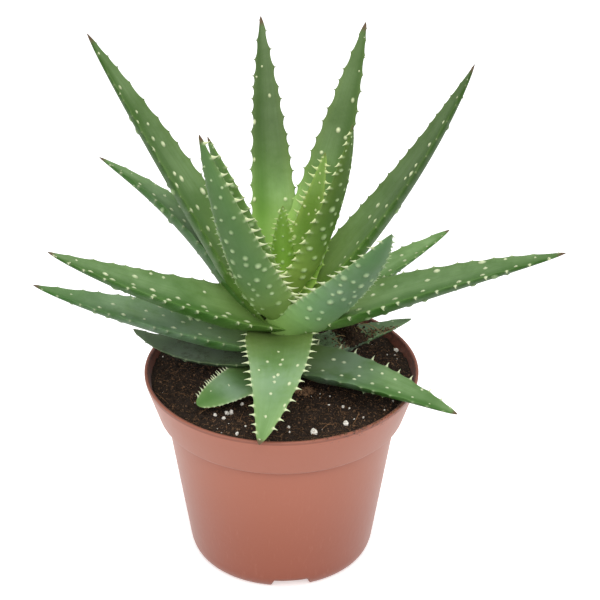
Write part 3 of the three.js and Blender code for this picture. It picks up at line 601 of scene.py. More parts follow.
# root: the side of the stem that the leaf grows from, and its height. tip: how far out it is,
# towards which side, and how high. bow: how far the middle lies above the straight line, and
# beside it. size: width and thickness.
# young: 0 for the old, bluish leaves to 1 for the yellow-green heart. tone: how light the skin is
# at the root and at the tip, partly the leaf's own lightness and partly painted light that
# brightens roots and leaves that lie in shade. bloom: how bluish the underside is; without it,
# painted shade
# darkens it to a deep green. band: where a stripe of painted shade, a darker green, runs on the
# upper face, as a place from -1 to 1. frost: how much whitish waxy bloom and painted sheen lies on
# it, round which share of its length, and how far along. dirt: how much peat has dried on it.
# scorch: how brown its tip is. spot: how large its spots are.
# lift: how far the teeth stand up out of the leaf's plane. teeth: pitch at the root and at the
# tip, length on the left margin and on the right, how pale and how brown. rows: spots in a line,
# [face, place, from, to, count, prickle]. spread: spots at random, [face, count, from, to].
LEAVES = {
    "leaf_01_soil_left": dict(
        root=(174, 97), tip=(68, 165, 99.5), bow=(-0.5, 7.5), size=(26, 5), tone_and_painted_light=(0.5, 0.55),
        bloom=0.5, frost_and_sheen=(0.6, 0.45, 0.2), dirt=0.5, scorch=0.3, teeth=(5, 7, 1, 1, 0.1, 0.5),
        spread=[(UPPER, 1, 0.3, 0.9)]),
    "leaf_02_soil_right": dict(
        root=(19, 94), tip=(64, 24.5, 99.5), bow=(1.5, -0.5), size=(21, 5.5), tone_and_painted_light=(1.6, 1.45),
        bloom=0.6, frost_and_sheen=(0.95, 0.45, 0.16), dirt=0.8, scorch=0.3, teeth=(5, 8, 1, 1, 0.2, 0.3),
        spread=[(UPPER, 5, 0.4, 0.9)]),
    "leaf_03_small_front_left": dict(
        root=(-139, 91.5), tip=(48, -138.5, 91), bow=(3.5, 3.5), size=(24, 4), blunt=True,
        young=0.15, tone_and_painted_light=(0.6, 1.4), bloom=0.7, frost_and_sheen=(0.65, 0.62, 0.14), scorch=0, spot=0.5,
        lift=0.7, teeth=(1.7, 1.5, 2.8, 0.9, 1, 0), spread=[(UPPER, 2, 0.45, 0.9)]),
    "leaf_04_front_right": dict(
        root=(-34, 96), tip=(83.5, -27, 90), bow=(5.5, -1.5), size=(28, 7.5), young=0.1,
        tone_and_painted_light=(0.78, 1.15), band=-0.8, frost_and_sheen=(0.7, 0.3, 0.18), spot=0.85, lift=1.2,
        teeth=(7, 8, 0.05, 2.3, 1, 0.05),
        rows=[(UPPER, 0.45, 0.2, 0.62, 6, 0), (UPPER, -0.45, 0.14, 0.85, 9, 0)],
        spread=[(UPPER, 2, 0.3, 0.8)]),
    "leaf_05_back_low": dict(
        root=(108, 101), tip=(70, 108, 104), bow=(6, 0), size=(22, 6), young=0.1, tone_and_painted_light=(1, 0.9),
        bloom=0.5, teeth=(5, 8, 1.4, 1.4, 0.4, 0.3), spread=[(UPPER, 12, 0.25, 0.9)]),
    "leaf_06_front": dict(
        root=(-107, 111.5), tip=(66.5, -98, 93), bow=(10, 4.5), size=(31, 6), young=0.25,
        tone_and_painted_light=(0.74, 1.38), bloom=0.4, frost_and_sheen=(0.45, 0.55, 0.2), spot=0.75,
        teeth=(4.2, 4.6, 3.1, 2.9, 0.9, 0.05),
        rows=[(UPPER, 0.05, 0.3, 0.6, 5, 1), (UPPER, -0.1, 0.55, 0.95, 4, 1)],
        spread=[(UPPER, 5, 0.3, 0.8)]),
    "leaf_07_left_low": dict(
        root=(171, 104), tip=(106, -177.5, 134), bow=(-0.5, 0.5), size=(29.5, 8.5), young=0.05,
        tone_and_painted_light=(1.6, 1.3), band=0.85, frost_and_sheen=(0.5, 0.45, 0.3), teeth=(7, 9, 1.1, 1.3, 0.4, 0.3),
        rows=[(UPPER, 0.6, 0.2, 0.72, 6, 1), (UPPER, 0, 0.25, 0.85, 4, 0)]),
    "leaf_08_back_right_low": dict(
        root=(40, 110.5), tip=(97, 38, 127), bow=(1.5, -0.5), size=(22.5, 7.5), young=0.2,
        tone_and_painted_light=(1.35, 1.35), band=-0.9, teeth=(6, 9, 1.2, 1.2, 0.2, 0.4),
        rows=[(UPPER, -0.6, 0.4, 0.92, 7, 1.2)], spread=[(UPPER, 5, 0.4, 0.9)]),
    "leaf_09_back": dict(
        root=(84, 112), tip=(70, 84, 130), bow=(5, 0), size=(23, 7), young=0.2, tone_and_painted_light=(1.1, 0.95),
        bloom=0.5, teeth=(5, 8, 1.4, 1.4, 0.3, 0.4), spread=[(UPPER, 12, 0.25, 0.9)]),
    "leaf_10_back_left_low": dict(
        root=(165, 110), tip=(93, 149.5, 169.5), bow=(8.5, -3), size=(24.5, 9.5), young=0.15,
        tone_and_painted_light=(1.3, 1.2), band=0.85, frost_and_sheen=(0.25, 0.5, 0.3), teeth=(6, 9, 1.2, 1.6, 0.5, 0.3),
        rows=[(UPPER, 0.5, 0.25, 0.95, 10, 1)], spread=[(UPPER, 4, 0.5, 0.9)]),
    "leaf_11_right": dict(
        root=(5, 112), tip=(120, -4, 151.5), bow=(2, 2), size=(29, 8.5), young=0.15,
        tone_and_painted_light=(1.45, 1.0), band=-0.85, spot=1.2, teeth=(7, 10, 3.0, 1.4, 0.8, 0.2),
        rows=[(UPPER, -0.66, 0.25, 0.95, 7, 1.6), (UPPER, 0.1, 0.3, 0.9, 4, 0.8)]),
    "leaf_12_left": dict(
        root=(182, 115.5), tip=(99, -168, 158.5), bow=(0, 2), size=(32, 9), young=0.15,
        tone_and_painted_light=(1.35, 1.08), band=0.8, spot=1.2, teeth=(7, 9, 1, 1.8, 0.7, 0.3),
        rows=[(UPPER, 0.78, 0.15, 0.97, 11, 1.2), (UPPER, 0.42, 0.2, 0.75, 6, 0.8)]),
    "leaf_13_right_front": dict(
        root=(-77, 109), tip=(59.5, -42, 177), bow=(0.5, 5.5), size=(30, 7), young=0.2,
        tone_and_painted_light=(1.75, 1.15), bloom=0.85, frost_and_sheen=(0.4, 0.55, 0.25), scorch=0.2,
        teeth=(4.4, 6.2, 4.4, 1.6, 1, 0),
        rows=[(UNDER, 0.72, 0.3, 0.95, 13, 0.9), (UNDER, 0.9, 0.35, 0.97, 15, 1.1)],
        spread=[(UNDER, 18, 0.25, 0.85)]),
    "leaf_14_left_tall": dict(
        root=(155, 113.5), tip=(89, 156.5, 232.5), bow=(0.5, -1.5), size=(27.5, 9.5), young=0.3,
        tone_and_painted_light=(1.3, 0.84), band=0.75, spot=1.2, teeth=(8, 7, 1.3, 0.9, 0.1, 0.5),
        rows=[(UPPER, 0.42, 0.12, 0.93, 9, 0), (UPPER, 0.9, 0.2, 0.8, 7, 0.8)],
        spread=[(UPPER, 5, 0.15, 0.7)]),
    "leaf_15_right_tall": dict(
        root=(15, 120.5), tip=(84, 16.5, 223.5), bow=(-4, -1.5), size=(26.5, 9), young=0.35,
        tone_and_painted_light=(1.5, 0.66), band=-0.75, spot=1.1, teeth=(7, 7, 0.9, 1.3, 0.1, 0.6),
        rows=[(UPPER, -0.5, 0.08, 0.96, 12, 0)], spread=[(UPPER, 4, 0.15, 0.7)]),
    "leaf_16_back_left_tall": dict(
        root=(100, 120.5), tip=(60.5, 98.5, 230.5), bow=(4, 0.5), size=(23.5, 7), young=0.45,
        tone_and_painted_light=(2.4, 0.6), band=0.6, teeth=(6, 6.5, 1.1, 1.1, 0.1, 0.4),
        rows=[(UPPER, 0.8, 0.35, 0.8, 4, 0.7)], spread=[(UPPER, 5, 0.25, 0.95)]),
    "leaf_17_back_right_tall": dict(
        root=(64, 120), tip=(56, 50.5, 234.5), bow=(2, -2), size=(25, 7), young=0.45,
        tone_and_painted_light=(2.9, 0.74), band=-0.7, teeth=(6, 6.5, 1.1, 1.2, 0.1, 0.4),
        rows=[(UPPER, -0.55, 0.6, 0.95, 4, 0.6)], spread=[(UPPER, 4, 0.3, 0.9)]),
    "leaf_18_left_upright": dict(
        root=(-137, 123), tip=(33, -155, 208), bow=(1, -0.5), size=(24, 6), young=0.5,
        tone_and_painted_light=(1.5, 1.1), bloom=0.4, teeth=(4.5, 6, 1.6, 1.9, 0.7, 0.35),
        spread=[(UNDER, 26, 0.3, 0.95), (UPPER, 14, 0.3, 0.95)]),
    "leaf_19_front_left_upright": dict(
        root=(-110, 118), tip=(46, -135, 217.5), bow=(-10, 4), size=(25, 7), young=0.4,
        tone_and_painted_light=(1.35, 0.95), bloom=0.6, teeth=(3.8, 7, 1.0, 5.2, 1, 0),
        rows=[(UNDER, -0.8, 0.12, 0.75, 10, 1.3)], spread=[(UNDER, 34, 0.08, 0.9)]),
    "leaf_20_right_upright": dict(
        root=(-34, 126), tip=(33, -30, 214.5), bow=(-1, 6), size=(22.5, 6), young=0.75,
        tone_and_painted_light=(1.6, 0.8), bloom=0.1, scorch=0.5, teeth=(4.2, 6.5, 4.6, 1.7, 1, 0.1),
        rows=[(UNDER, 0.75, 0.05, 0.6, 10, 1.2)], spread=[(UNDER, 30, 0.04, 0.95)]),
    "leaf_21_inner_right": dict(
        root=(60, 125.5), tip=(20, 23.5, 190.5), bow=(0, -1.5), size=(17, 4), young=1,
        tone_and_painted_light=(2.0, 1.45), scorch=0.5, teeth=(4.6, 3.4, 3.9, 4.3, 1, 0),
        spread=[(UPPER, 10, 0.2, 0.8), (UPPER, 10, 0.8, 0.97)]),
    "leaf_22_heart": dict(
        root=(-91, 127.5), tip=(2, -73, 170.5), bow=(3, 0), size=(13, 4), young=1,
        tone_and_painted_light=(2.2, 2.1), scorch=0.5, teeth=(4, 2.6, 2.2, 2.2, 1, 0.1),
        rows=[(UNDER, 0, 0.1, 0.95, 7, 0.6)], spread=[(UNDER, 8, 0.15, 0.95)]),
}


def polar(radius, degrees, height=0.0):
    """The point at that distance and angle from the axis, and that height."""
    angle = np.radians(degrees)
    return np.array([radius * np.cos(angle), radius * np.sin(angle), height])


def unit(vectors):
    """The vectors at length 1."""
    return vectors / np.linalg.norm(vectors, axis=-1, keepdims=True)


class Blade:
    """The skin of one leaf as a function of t, from root to tip, and place, from -1 at its left
    margin to 1 at its right one, on the upper face or the one below."""

    def __init__(self, name, age, random):
        self.leaf = LEAVES[name]
        self.width, self.thick = self.leaf["size"]
        faces, height = self.leaf["root"]
        start = polar(lerp(*ROOT_OFFSET, age), faces, height)
        tip = polar(*self.leaf["tip"])
        chord = tip - start
        across = polar(1, faces + 90)
        self.across = unit(across - chord * (across @ chord) / (chord @ chord))
        above = unit(np.cross(chord, self.across))
        arch, sway = self.leaf["bow"]
        middle = (start + tip) / 2 + 2 * arch * above + 2 * sway * self.across
        self.bends = start, middle, tip
        self.inward = polar(-1, faces)
        line = self.midrib(np.linspace(0, 1, 60))
        self.length = np.linalg.norm(np.diff(line, axis=0), axis=1).sum()
        self.teeth = {side: self.tooth_stations(random) for side in (-1, 1)}

    def tooth_stations(self, random):
        """How far along the margin each tooth stands, in millimetres: the pitch goes evenly from
        the root's to the tip's, give or take a third."""
        first, last = self.leaf["teeth"][:2]
        stations = [FROM_ROOT + first * random.uniform(0, 1)]
        while stations[-1] < self.length - FROM_TIP:
            pitch = lerp(first, last, stations[-1] / self.length)
            stations.append(stations[-1] + pitch * random.uniform(0.65, 1.35))
        return np.array(stations[:-1])

    def midrib(self, t):
        """The curve (1-t)^2 A + 2t(1-t) B + t^2 C from root to tip."""
        a, b, c = self.bends
        t = np.asarray(t)[..., None]
        return (1 - t) ** 2 * a + 2 * t * (1 - t) * b + t**2 * c

    def directions(self, t):
        """Along the midrib, to the right of it, and up out of the blade."""
        a, b, c = self.bends
        t = np.asarray(t)[..., None]
        along = unit((1 - t) * (b - a) + t * (c - b))
        side = unit(self.across - along * (along @ self.across)[..., None])
        return along, side, np.cross(along, side)

    def half_width(self, t):
        """Full from 15% of the length, a little less at the root, and drawn to a point."""
        taper = (1 - t**3) ** 0.55 if "blunt" in self.leaf else (1 - t**1.7) ** 0.75
        return 0.5 * self.width * taper * (0.78 + 0.22 * np.minimum(1, t / 0.15))

    def scallop(self, t, side):
        """How far the margin draws back: a parabola 4f(1-f) between neighbouring teeth, as deep
        as a share of the gap between them."""
        stations = self.teeth[side]
        at = t * self.length
        after = np.clip(np.searchsorted(stations, at), 1, len(stations) - 1)
        before, ahead = stations[after - 1], stations[after]
        share = np.clip((at - before) / (ahead - before), 0, 1)
        return SCALLOP * (ahead - before) * 4 * share * (1 - share)

    def depth(self, t):
        """Full from a fifth of the length, about half at the root, and thinning to the tip."""
        fill = 0.55 + 0.45 * np.minimum(1, t / 0.2)
        return self.thick * (1 - t**1.8) ** 0.75 * fill

    def skin(self, t, place, face):
        """The channel rises as place squared, and the keel below hangs by 1 - |place|^2.2. The
        scallops reach in from the margin as place to the sixth, the margin rolls down as place
        to the eighth, and near the root it bends in to clasp the stem."""
        t, place, face = np.broadcast_arrays(t, place, face)
        along, side, up = self.directions(t)
        half = self.half_width(t)
        drawn = np.where(place < 0, self.scallop(t, -1), self.scallop(t, 1)) * place**6
        channel = half * (0.22 - 0.1 * np.minimum(1, t / 0.6)) * (1 - t**3)
        belly = self.depth(t) * (1 - np.abs(place) ** 2.2) ** 0.8
        rise = channel * place**2 - ROLL * half * place**8 - np.where(face > 0, 0, belly)
        clasp = 0.35 * half * np.maximum(0, 1 - t / 0.25) ** 2 * place**2
        return (
            self.midrib(t) + side * (place * (half - drawn))[..., None] + up * rise[..., None]
            + self.inward * clasp[..., None]
        )

    def outward(self, t, place, face):
        """The direction straight out of the skin, from the steps along and across it."""
        step = 1e-3
        here = self.skin(t, place, face)
        ahead = self.skin(t + step, place, face) - here
        beside = self.skin(t, place + step, face) - here
        return unit(np.cross(ahead, beside)) * np.asarray(face)[..., None]


def blade_grid(blade):
    """Rows closer together at the tip, and columns closer together at the margins. The first row
    is drawn together to close the root, and the last to the tip. A pale patch runs in from each
    tooth: a bell along the margin, fading over a millimetre or so inwards."""
    t = 0.998 * (1 - (1 - np.linspace(0, 1, 200)[:, None]) ** 1.15)
    around = turn(64)[None, :]
    place = -np.cos(around) + 0 * t
    face = np.where(around <= np.pi, UPPER, UNDER) + 0 * t
    grid = blade.skin(t, place, face)
    root = (blade.skin(t[:1], place[:1], UPPER) + blade.skin(t[:1], place[:1], UNDER)) / 2
    tip = np.broadcast_to(blade.bends[2], root.shape)
    grid = np.concatenate([root, grid, tip])
    t = np.concatenate([t[:1], t, t[-1:]]) + 0 * grid[..., 0]
    place = np.concatenate([place[:1], place, place[-1:]])
    _, _, left_length, right_length, strength, _ = blade.leaf["teeth"]
    strength = strength * np.clip(np.where(place < 0, left_length, right_length) / 2, 0.3, 1)
    off = [np.abs(t[:, :1] * blade.length - blade.teeth[side]).min(axis=1) for side in (-1, 1)]
    off = np.where(place < 0, off[0][:, None], off[1][:, None])
    inwards = (1 - np.abs(place)) * blade.half_width(t)
    pale = 0.85 * strength * np.exp(-((off / 0.5) ** 2)) * np.clip(1 - inwards / 1.4, 0, 1)
    under = 0.5 - 0.5 * np.sin(around) + 0 * t
    return grid[None], {"along": t, "place": place, "under": under, "pale": pale}


def tooth_grid(blade, random):
    """Each tooth is a flattened cone that starts a little inside the margin. Its centre line goes
    out in step with s and leans by 0.45 s^2 - 0.2 s of its length towards the tip, and its
    section is an ellipse that narrows to a point. The teeth shorten towards the leaf's tip."""
    pitch, _, left_length, right_length, _, _ = blade.leaf["teeth"]
    stations = np.concatenate([blade.teeth[-1], blade.teeth[1]])
    side = np.repeat([-1, 1], [len(blade.teeth[-1]), len(blade.teeth[1])])
    t = stations / blade.length
    length = np.where(side < 0, left_length, right_length) * random.uniform(0.7, 1.15, len(t))
    length = (length * (1.1 - 0.6 * t))[:, None, None, None]
    along, across, up = (v[:, None, None] for v in blade.directions(t))
    root = blade.skin(t, side * 0.999, UPPER)[:, None, None]
    out = unit(across * side[:, None, None, None] + up * blade.leaf.get("lift", 0.0))
    s = np.array([0, 0, 0.1, 0.25, 0.45, 0.7, 0.9, 1])[None, :, None, None]
    narrow = np.array([0, 1, 0.85, 0.6, 0.38, 0.2, 0.08, 0])[None, :, None, None]
    sink = 0.6
    centre = root + out * (s * (length + sink) - sink) + along * length * (0.45 * s**2 - 0.2 * s)
    broad = np.minimum(0.9 * length, 0.55 + 0.16 * length)
    broad = np.minimum(broad, min(1.25, 0.4 * pitch)) * narrow
    around = turn(8)[None, None, :, None]
    grid = centre + along * np.cos(around) * broad + up * np.sin(around) * broad * 0.55
    tip = np.broadcast_to(s[..., 0], grid.shape[:3])
    return grid, np.broadcast_to(t[:, None, None], tip.shape), tip


def spot_places(blade, random):
    """Where the spots stand, as rows of [t, place, face, length of its prickle]: first those in
    lines, then those at random, with room between them. A face without its own gets a few."""
    found = []
    for face, place, start, end, count, prickle in blade.leaf.get("rows", ()):
        t = np.linspace(start, end, count) + random.uniform(-0.02, 0.02, count)
        beside = place + random.uniform(-0.09, 0.09, count)
        found += [(a, b, face, prickle) for a, b in zip(t, beside)]
    spread = list(blade.leaf.get("spread", ()))
    own = [row[0] for row in spread]
    few = {UPPER: 5, UNDER: 14}
    spread += [(face, few[face], 0.2, 0.92) for face in few if face not in own]
    for face, count, start, end in spread:
        tries = 0
        while count and tries < MOST_TRIES:
            tries += 1
            t, place = random.uniform(start, end), random.uniform(-0.82, 0.82)
            apart = [
                np.hypot((t - a) * blade.length, (place - b) * blade.half_width(t))
                for a, b, f, _ in found if f == face
            ]
            if apart and min(apart) < SPOT_ROOM:
                continue
            found.append((t, place, face, random.choice([0, 0, 0.9])))
            count -= 1
    return np.array(found)


def spot_grids(blade, random):
    """A spot is a low dome of height (1 - r^2)^1.5 on the skin, longer along the leaf. A prickle
    is a thin cone on it that leans out towards the nearer margin."""
    t, place, face, prickle = spot_places(blade, random).T
    count = len(t)
    tight = np.clip(blade.half_width(t) / 8, 0.45, 1)
    size = random.uniform(0.8, 1.3, count) * tight * blade.leaf.get("spot", 1.0)
    size *= np.where(face > 0, 1, 1.25)
    long = random.uniform(1.0, 1.4, count)
    ring = np.array([0, 1, 0.85, 0.65, 0.42, 0.2, 0])[None, :, None]
    around = turn(9)[None, None, :]
    dt = ring * np.cos(around) * (size * long)[:, None, None] / blade.length
    dp = ring * np.sin(around) * (size / blade.half_width(t))[:, None, None]
    spot_t = np.clip(t[:, None, None] + dt, 0, 0.997)
    spot_place = np.clip(place[:, None, None] + dp, -0.98, 0.98)
    spot_face = np.broadcast_to(face[:, None, None], spot_t.shape)
    normal = blade.outward(spot_t, spot_place, spot_face)
    rise = 0.42 * (1 - ring**2) ** 1.5 * size[:, None, None] - 0.03
    rise[:, 0] = -0.4
    dome = blade.skin(spot_t, spot_place, spot_face) + normal * rise[..., None]
    strength = random.uniform(0.6, 1, (count, 1, 1)) * np.where(spot_face > 0, 1.0, 0.85)
    pale = strength * (1 - ring**2) ** np.where(spot_face > 0, 1.0, 1.5)
    pale[:, 0] = 0
    marks = {"along": spot_t, "place": spot_place, "pale": pale}
    marks["under"] = np.where(spot_face > 0, 0.0, 1.0)

    chosen = prickle > 0
    t, place, face = t[chosen], place[chosen], face[chosen]
    along, side, _ = (v[:, None, None] for v in blade.directions(t))
    normal = blade.outward(t, place, face)[:, None, None]
    out = side * np.sign(place + 1e-6)[:, None, None, None]
    beside = unit(np.cross(normal, out))
    foot = blade.skin(t, place, face)[:, None, None]
    tall = (prickle[chosen] * random.uniform(0.8, 1.2, len(t)))[:, None, None, None]
    s = np.array([0, 0, 0.35, 0.7, 1])[None, :, None, None]
    thin = np.array([0, 1, 0.65, 0.3, 0])[None, :, None, None] * (0.2 + 0.17 * tall)
    around = turn(6)[None, None, :, None]
    lean = out * (0.9 * s) + along * (0.35 * s**2 - 0.25 * s)
    centre = foot + normal * (tall * 0.55 * s) + lean * tall
    cone = centre + (beside * np.cos(around) + normal * np.sin(around)) * thin
    tip = np.broadcast_to(s[..., 0], cone.shape[:3])
    cone_marks = {
        "along": t[:, None, None], "place": place[:, None, None], "pale": 0.6 + 0.4 * tip,
        "under": np.where(face[:, None, None] > 0, 0.0, 1.0), "tip": tip,
    }
    return dome, marks, cone, cone_marks


def make_leaf(name, age, seed):
    """The blade, its teeth, spots and prickles in one mesh, with what the finish needs to know:
    along, place and under say where a point is, pale how far it is spot or tooth, and horn how
    brown the tip of a tooth is. The others are the leaf's own, as its row gives them."""
    random = np.random.default_rng(seed)
    blade = Blade(name, age, random)
    leaf = blade.leaf
    skin, skin_marks = blade_grid(blade)
    teeth, tooth_t, tip = tooth_grid(blade, random)
    dome, dome_marks, cone, cone_marks = spot_grids(blade, random)
    pale, brown = leaf["teeth"][4:]
    teeth_marks = {"along": tooth_t, "place": 1.0, "under": 0.0, "pale": pale * (0.7 + 0.3 * tip)}
    parts = [skin_marks, teeth_marks, dome_marks, cone_marks]
    marks = {key: [part[key] for part in parts] for key in ("along", "place", "under", "pale")}
    marks["horn"] = [0.0, brown * tip**1.5, 0.0, 0.2 * cone_marks["tip"]]
    # painted shade: a darker green stripe along the upper face
    centre = leaf.get("band", 0.0)
    strength = 1.0 if "band" in leaf else 0.35
    marks["band"] = [
        strength * np.exp(-((np.asarray(part["place"]) - centre) / 0.42) ** 2)
        * (1 - np.asarray(part["under"])) for part in parts
    ]
    # partly painted sheen: a whitish coat round one share of the leaf's length
    frost_and_sheen, middle, reach = leaf.get("frost_and_sheen", (0, 0, 1))
    marks["frost_and_sheen"] = [frost_and_sheen * np.exp(-(((part["along"] - middle) / reach) ** 2)) for part in parts]
    for key, plain in (("young", 0), ("bloom", 0), ("dirt", 0), ("scorch", 1)):
        marks[key] = [leaf.get(key, plain)] * len(parts)
    # partly painted light: tone brightens the root and leaves that lie in shade
    share = [np.clip((part["along"] - 0.1) / 0.55, 0, 1) for part in parts]
    marks["tone_and_painted_light"] = [lerp(*leaf["tone_and_painted_light"], s * s * (3 - 2 * s)) for s in share]
    return build(name + "_blade", [skin, teeth, dome, cone], list(marks.items())), blade


def leaf_finish():
    """Waxy skin: grey-green above with a stripe of painted shade, bluish below or darkened to
    green by painted shade, and yellow-green in the heart and towards the root. Painted light
    brightens the roots of young leaves and leaves that lie in shade. A whitish waxy bloom with a
    painted sheen lies on some leaves. The margin is a thin pale line, spots and teeth are cream,
    tips are brown, and peat has dried on the oldest leaves."""
    skin = Finish("aloe_skin", {
        "IOR": 1.45, "Specular IOR Level": 0.3, "Subsurface Weight": 0.05, "Subsurface Scale": 1.0,
        "Subsurface Radius": (0.0015, 0.0025, 0.0008),
    })
    along, place, under, young, bloom, dirt = (
        skin.mark(name) for name in ("along", "place", "under", "young", "bloom", "dirt")
    )
    cloud = skin.noise(48, 4, 0.55)
    fleck = skin.noise(300, 4, 0.6)
    lengthways = skin.vector(place * 8, along * 2.5, skin.coordinate("X") * 0.02)
    streak = skin.noise(1, 3, 0.6, lengthways)
    root = 1 - along.step(0.0, 0.45)
    margin = abs(place)
    blue = under.step(0.3, 0.7) * bloom
    heart = (young * 0.75 + root * 0.45) * (1 - 0.7 * blue * (1 - root))
    # painted shade: the band, and the underside of leaves without bloom, go to a darker green
    deep = skin.mark("band") + under.step(0.25, 0.6) * (1 - bloom)
    deep = deep * (1 - 0.5 * young) * (1 - 0.4 * root)
    # whitish waxy bloom with painted sheen, in patches
    wax_and_sheen = skin.noise(60, 4, 0.6).step(0.3, 0.6) * skin.mark("frost_and_sheen")
    colour = skin.coats(
        skin.mix(cloud.step(0.32, 0.68), rgb(82, 115, 67), rgb(120, 150, 103)),
        (streak.step(0.35, 0.7) * 0.35, rgb(84, 118, 62)),
        (blue * 0.85, rgb(96, 138, 94)),
        (heart * 0.85, rgb(117, 147, 52)),
        # painted light: a pale yellow-green glow on the roots of the young leaves
        (root * young * 0.7, rgb(174, 188, 106)),
        (margin.step(0.4, 1.0) * young * 0.4, rgb(148, 172, 80)),
        # painted shade: the darker green laid over the band and the underside
        (deep * 0.9, skin.mix(young, rgb(46, 92, 27), rgb(82, 118, 22))),
        (fleck.step(0.5, 0.8) * 0.15, rgb(70, 104, 48)),
        # painted sheen on the whitish waxy bloom
        (wax_and_sheen * 0.8, rgb(140, 162, 142)),
    )
    # painted light in part: the colour is scaled by tone
    painted_light_scaled = {0: colour, "Scale": skin.mark("tone_and_painted_light")}
    cream = skin.mix(young, rgb(236, 244, 204), rgb(240, 250, 184))
    crust = skin.noise(330, 6, 0.8).step(0.44, 0.62) * dirt
    caked = crust * skin.noise(90, 2).step(0.38, 0.62) * (1 - 0.6 * along.step(0.6, 0.95))
    colour = skin.coats(
        skin.node("VectorMath", {"operation": "SCALE"}, painted_light_scaled),
        (margin.step(0.955, 0.995) * (0.05 + 0.45 * bloom), rgb(176, 196, 138)),
        (along.step(0.958, 0.985) * skin.mark("scorch") * 0.9, rgb(98, 70, 54)),
        (skin.mark("pale"), skin.mix(under * 0.6, cream, rgb(190, 228, 166))),
        (skin.mark("horn"), rgb(104, 84, 56)),
        (dirt * 0.4 * (1 - under), rgb(128, 140, 122)),
        (caked * 0.95, rgb(72, 64, 46)),
    )
    rough = 0.4 + 0.12 * cloud + 0.35 * caked + 0.08 * under
    grain = skin.bump(skin.noise(900, 3, 0.6), 0.00003)
    swell = skin.bump(cloud, 0.001, grain)
    relief = skin.bump(skin.noise(1200, 4) * caked, 0.0006, swell)
    return skin.done(Base_Color=colour, Roughness=rough, Normal=relief)


FIRST_SEED = 300
aloe_skin = leaf_finish()
blades = {}
for order, name in enumerate(LEAVES):
    leaf_piece, blades[name] = make_leaf(name, order / (len(LEAVES) - 1), FIRST_SEED + order)
    belong(leaf_piece, "leaf", aloe_skin, name)


# ---- Clinging peat ------------------------------------------------------------------------
# Clods and crumbs of peat that lie on the oldest leaf at the right, on the compost at the stem,
# and on the front of the pot's rim, left there when the plant was potted, with dry fibres.
LEAF_CRUMBS = 420
RIM_CRUMBS = 170
HEAP = {"crumbs": 900, "along": 0.46, "spread": 0.05, "rise": 2.2}
CLOD_CRUMBS = 900
# Clods on the compost: [to the right, away from the viewer, radius].
CLODS = np.array([
    (8.8, -17.5, 2.6), (12.0, -15.5, 1.6), (20.0, 2.0, 3.0), (26.0, 5.0, 2.4), (15.0, 6.0, 2.6),
])
CRUMB_RADII = ((0.1, 0.4), (0.1, 0.3), (0.3, 1.0), (0.3, 0.8))  # leaf, rim, clods, heap
DRY_FIBRES = {
    "along": [0.5, 0.56, 0.6, 0.63, 0.67, 0.3, 0.38],
    "length": (6, 15), "radius": 0.16, "lift": 1.5,
}
dusty = blades["leaf_02_soil_right"]


def leaf_crumbs(random):
    """Points on the upper skin of the leaf, in small groups from its root on."""
    group = random.choice([0.3, 0.42, 0.5, 0.62, 0.74], LEAF_CRUMBS)
    t = group + random.normal(0, 0.05, LEAF_CRUMBS)
    place = np.clip(0.9 * np.sin(group * 40) + random.normal(0, 0.28, LEAF_CRUMBS), -0.9, 0.9)
    points = dusty.skin(t, place, UPPER)
    points[:, 2] += random.uniform(0, 0.3, LEAF_CRUMBS)
    return points


def rim_crumbs(random):
    """Points on the rim's lip, thickest at the right of its front."""
    angle = np.radians(-48 + random.normal(0, 16, RIM_CRUMBS))
    radius = RIM_RADIUS + random.uniform(-1.3, 0.0, RIM_CRUMBS)
    return np.stack([radius * np.cos(angle), radius * np.sin(angle), 0 * angle + POT_HEIGHT], -1)


def heap_crumbs(random):
    """A heap across the leaf: its height is a bell along the leaf, and falls off as the fourth
    power of place towards the margins."""
    count = HEAP["crumbs"]
    t = HEAP["along"] + random.normal(0, HEAP["spread"], count)
    place = random.uniform(-0.98, 0.98, count)
    bell = np.exp(-(((t - HEAP["along"]) / HEAP["spread"]) ** 2)) * (1 - place**4)
    points = dusty.skin(t, place, UPPER)
    points[:, 2] += HEAP["rise"] * bell * random.uniform(0, 1, count)
    return points


def clod_crumbs(random):
    """Points round each clod's middle, piled up to a bell of the clod's own radius."""
    clod = CLODS[random.integers(0, len(CLODS), CLOD_CRUMBS)]
    offset = random.normal(0, 0.45, (CLOD_CRUMBS, 2)) * clod[:, 2:]
    near = clod[:, :2] + offset
    pile = clod[:, 2] * np.exp(-(np.linalg.norm(offset, axis=1) / clod[:, 2]) ** 2)
    return np.column_stack([near, soil_height(near[:, 0], near[:, 1]) + pile])


random = np.random.default_rng(77)
on_leaf, on_rim, heap = (draw(random) for draw in (leaf_crumbs, rim_crumbs, heap_crumbs))
groups = on_leaf, on_rim, clod_crumbs(random), heap
radii = [random.uniform(*limits, len(group)) for limits, group in zip(CRUMB_RADII, groups)]
spots = np.concatenate(groups)
crumbs = lumps(random, spots, np.concatenate(radii), 4, 5)
shades = random.uniform(0, 1, (len(spots), 1, 1))
shades[-len(heap):] *= 0.2
belong(build("clinging_peat", [crumbs], [("shade", [shades])]), "compost", crumb_finish)

spots = dusty.skin(np.array(DRY_FIBRES["along"]), 0.0, UPPER)
spots[:, 2] += 0.6
lengths = random.uniform(*DRY_FIBRES["length"], len(spots))
threads = fibres(
    random, spots, lengths, DRY_FIBRES["radius"], FIBRE["bend"], DRY_FIBRES["lift"]
)
fibre_piece = build("clinging_fibres", [threads], [("shade", [1.0])])
dry_finish = peat_finish("dry_fibre", rgb(140, 112, 78), rgb(196, 164, 118), rgb(220, 196, 150))
belong(fibre_piece, "compost", dry_finish)


# ---- Floor, light and camera --------------------------------------------------------------
# A white sweep under a broad soft light from above and in front, seen from slightly above. Its
# light doesn't fall back on the plant, as if a dark cloth lay round the pot.
FLOOR_HALF = 6.0
PLANT_MIDDLE = (0, 0, 0.11)
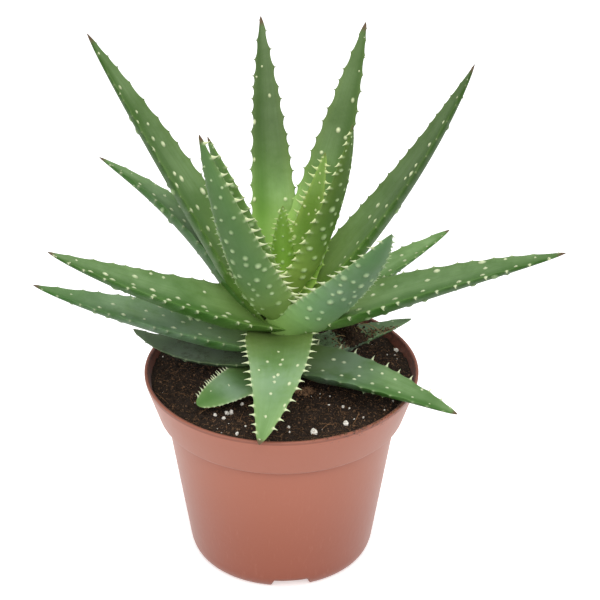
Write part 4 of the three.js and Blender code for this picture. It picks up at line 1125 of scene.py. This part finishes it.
# Each light: where it stands and its width, in metres, and its power in watts.
SOFTBOXES = {
    "overhead": ((0, -0.1, 2.2), 2.4, 26), "front_high": ((0.1, -1.6, 1.5), 1.2, 14),
    "left_front": ((-1.3, -1.0, 1.0), 1.0, 7), "right_front": ((1.4, -0.6, 0.9), 1.0, 5),
}
ROOM_LIGHT = 0.42
# The camera's place in millimetres about the pot's axis, its pitch from straight down, and its
# lens as the picture's focal length and the axis's column, in pixels.
CAMERA_PLACE = (0, -783.3, 567.2)
CAMERA_PITCH = 60.5
FOCAL_PIXELS = 2093.5
PICTURE_WIDTH = 600
AXIS_PIXEL = 281.5
SENSOR_WIDTH = 36

floor_mesh = bpy.data.meshes.new("floor")
corners = [(-1, -1, 0), (1, -1, 0), (1, 1, 0), (-1, 1, 0)]
floor_mesh.from_pydata(np.array(corners) * FLOOR_HALF, [], [(0, 1, 2, 3)])
floor = put("floor", floor_mesh)
paper = Finish("lit_white_sweep", {"Roughness": 0.9, "Emission Strength": 0.5})
white = paper.mix(paper.noise(40, 2), rgb(250, 250, 250), rgb(254, 254, 254))
floor_mesh.materials.append(paper.done(Base_Color=white, Emission_Color=white))
floor.visible_diffuse = False

for name, (where, width, power) in SOFTBOXES.items():
    light = bpy.data.lights.new(name, "AREA")
    light.shape, light.size, light.energy = "DISK", width, power
    softbox = put(name, light)
    softbox.location = where
    aim = Vector(PLANT_MIDDLE) - softbox.location
    softbox.rotation_euler = aim.to_track_quat("-Z", "Y").to_euler()

world = bpy.data.worlds.new("studio")
world.use_nodes = True
background = world.node_tree.nodes["Background"].inputs
background["Color"].default_value = (1, 1, 1, 1)
background["Strength"].default_value = ROOM_LIGHT
bpy.context.scene.world = world
bpy.context.scene.view_settings.view_transform = "Standard"

lens = bpy.data.cameras.new("camera")
lens.sensor_width = SENSOR_WIDTH
lens.lens = SENSOR_WIDTH * FOCAL_PIXELS / PICTURE_WIDTH
lens.shift_x = (PICTURE_WIDTH / 2 - AXIS_PIXEL) / PICTURE_WIDTH
camera = put("camera", lens)
camera.location = in_frame(CAMERA_PLACE)
camera.rotation_euler = (np.radians(CAMERA_PITCH), 0, 0)
bpy.context.scene.camera = camera
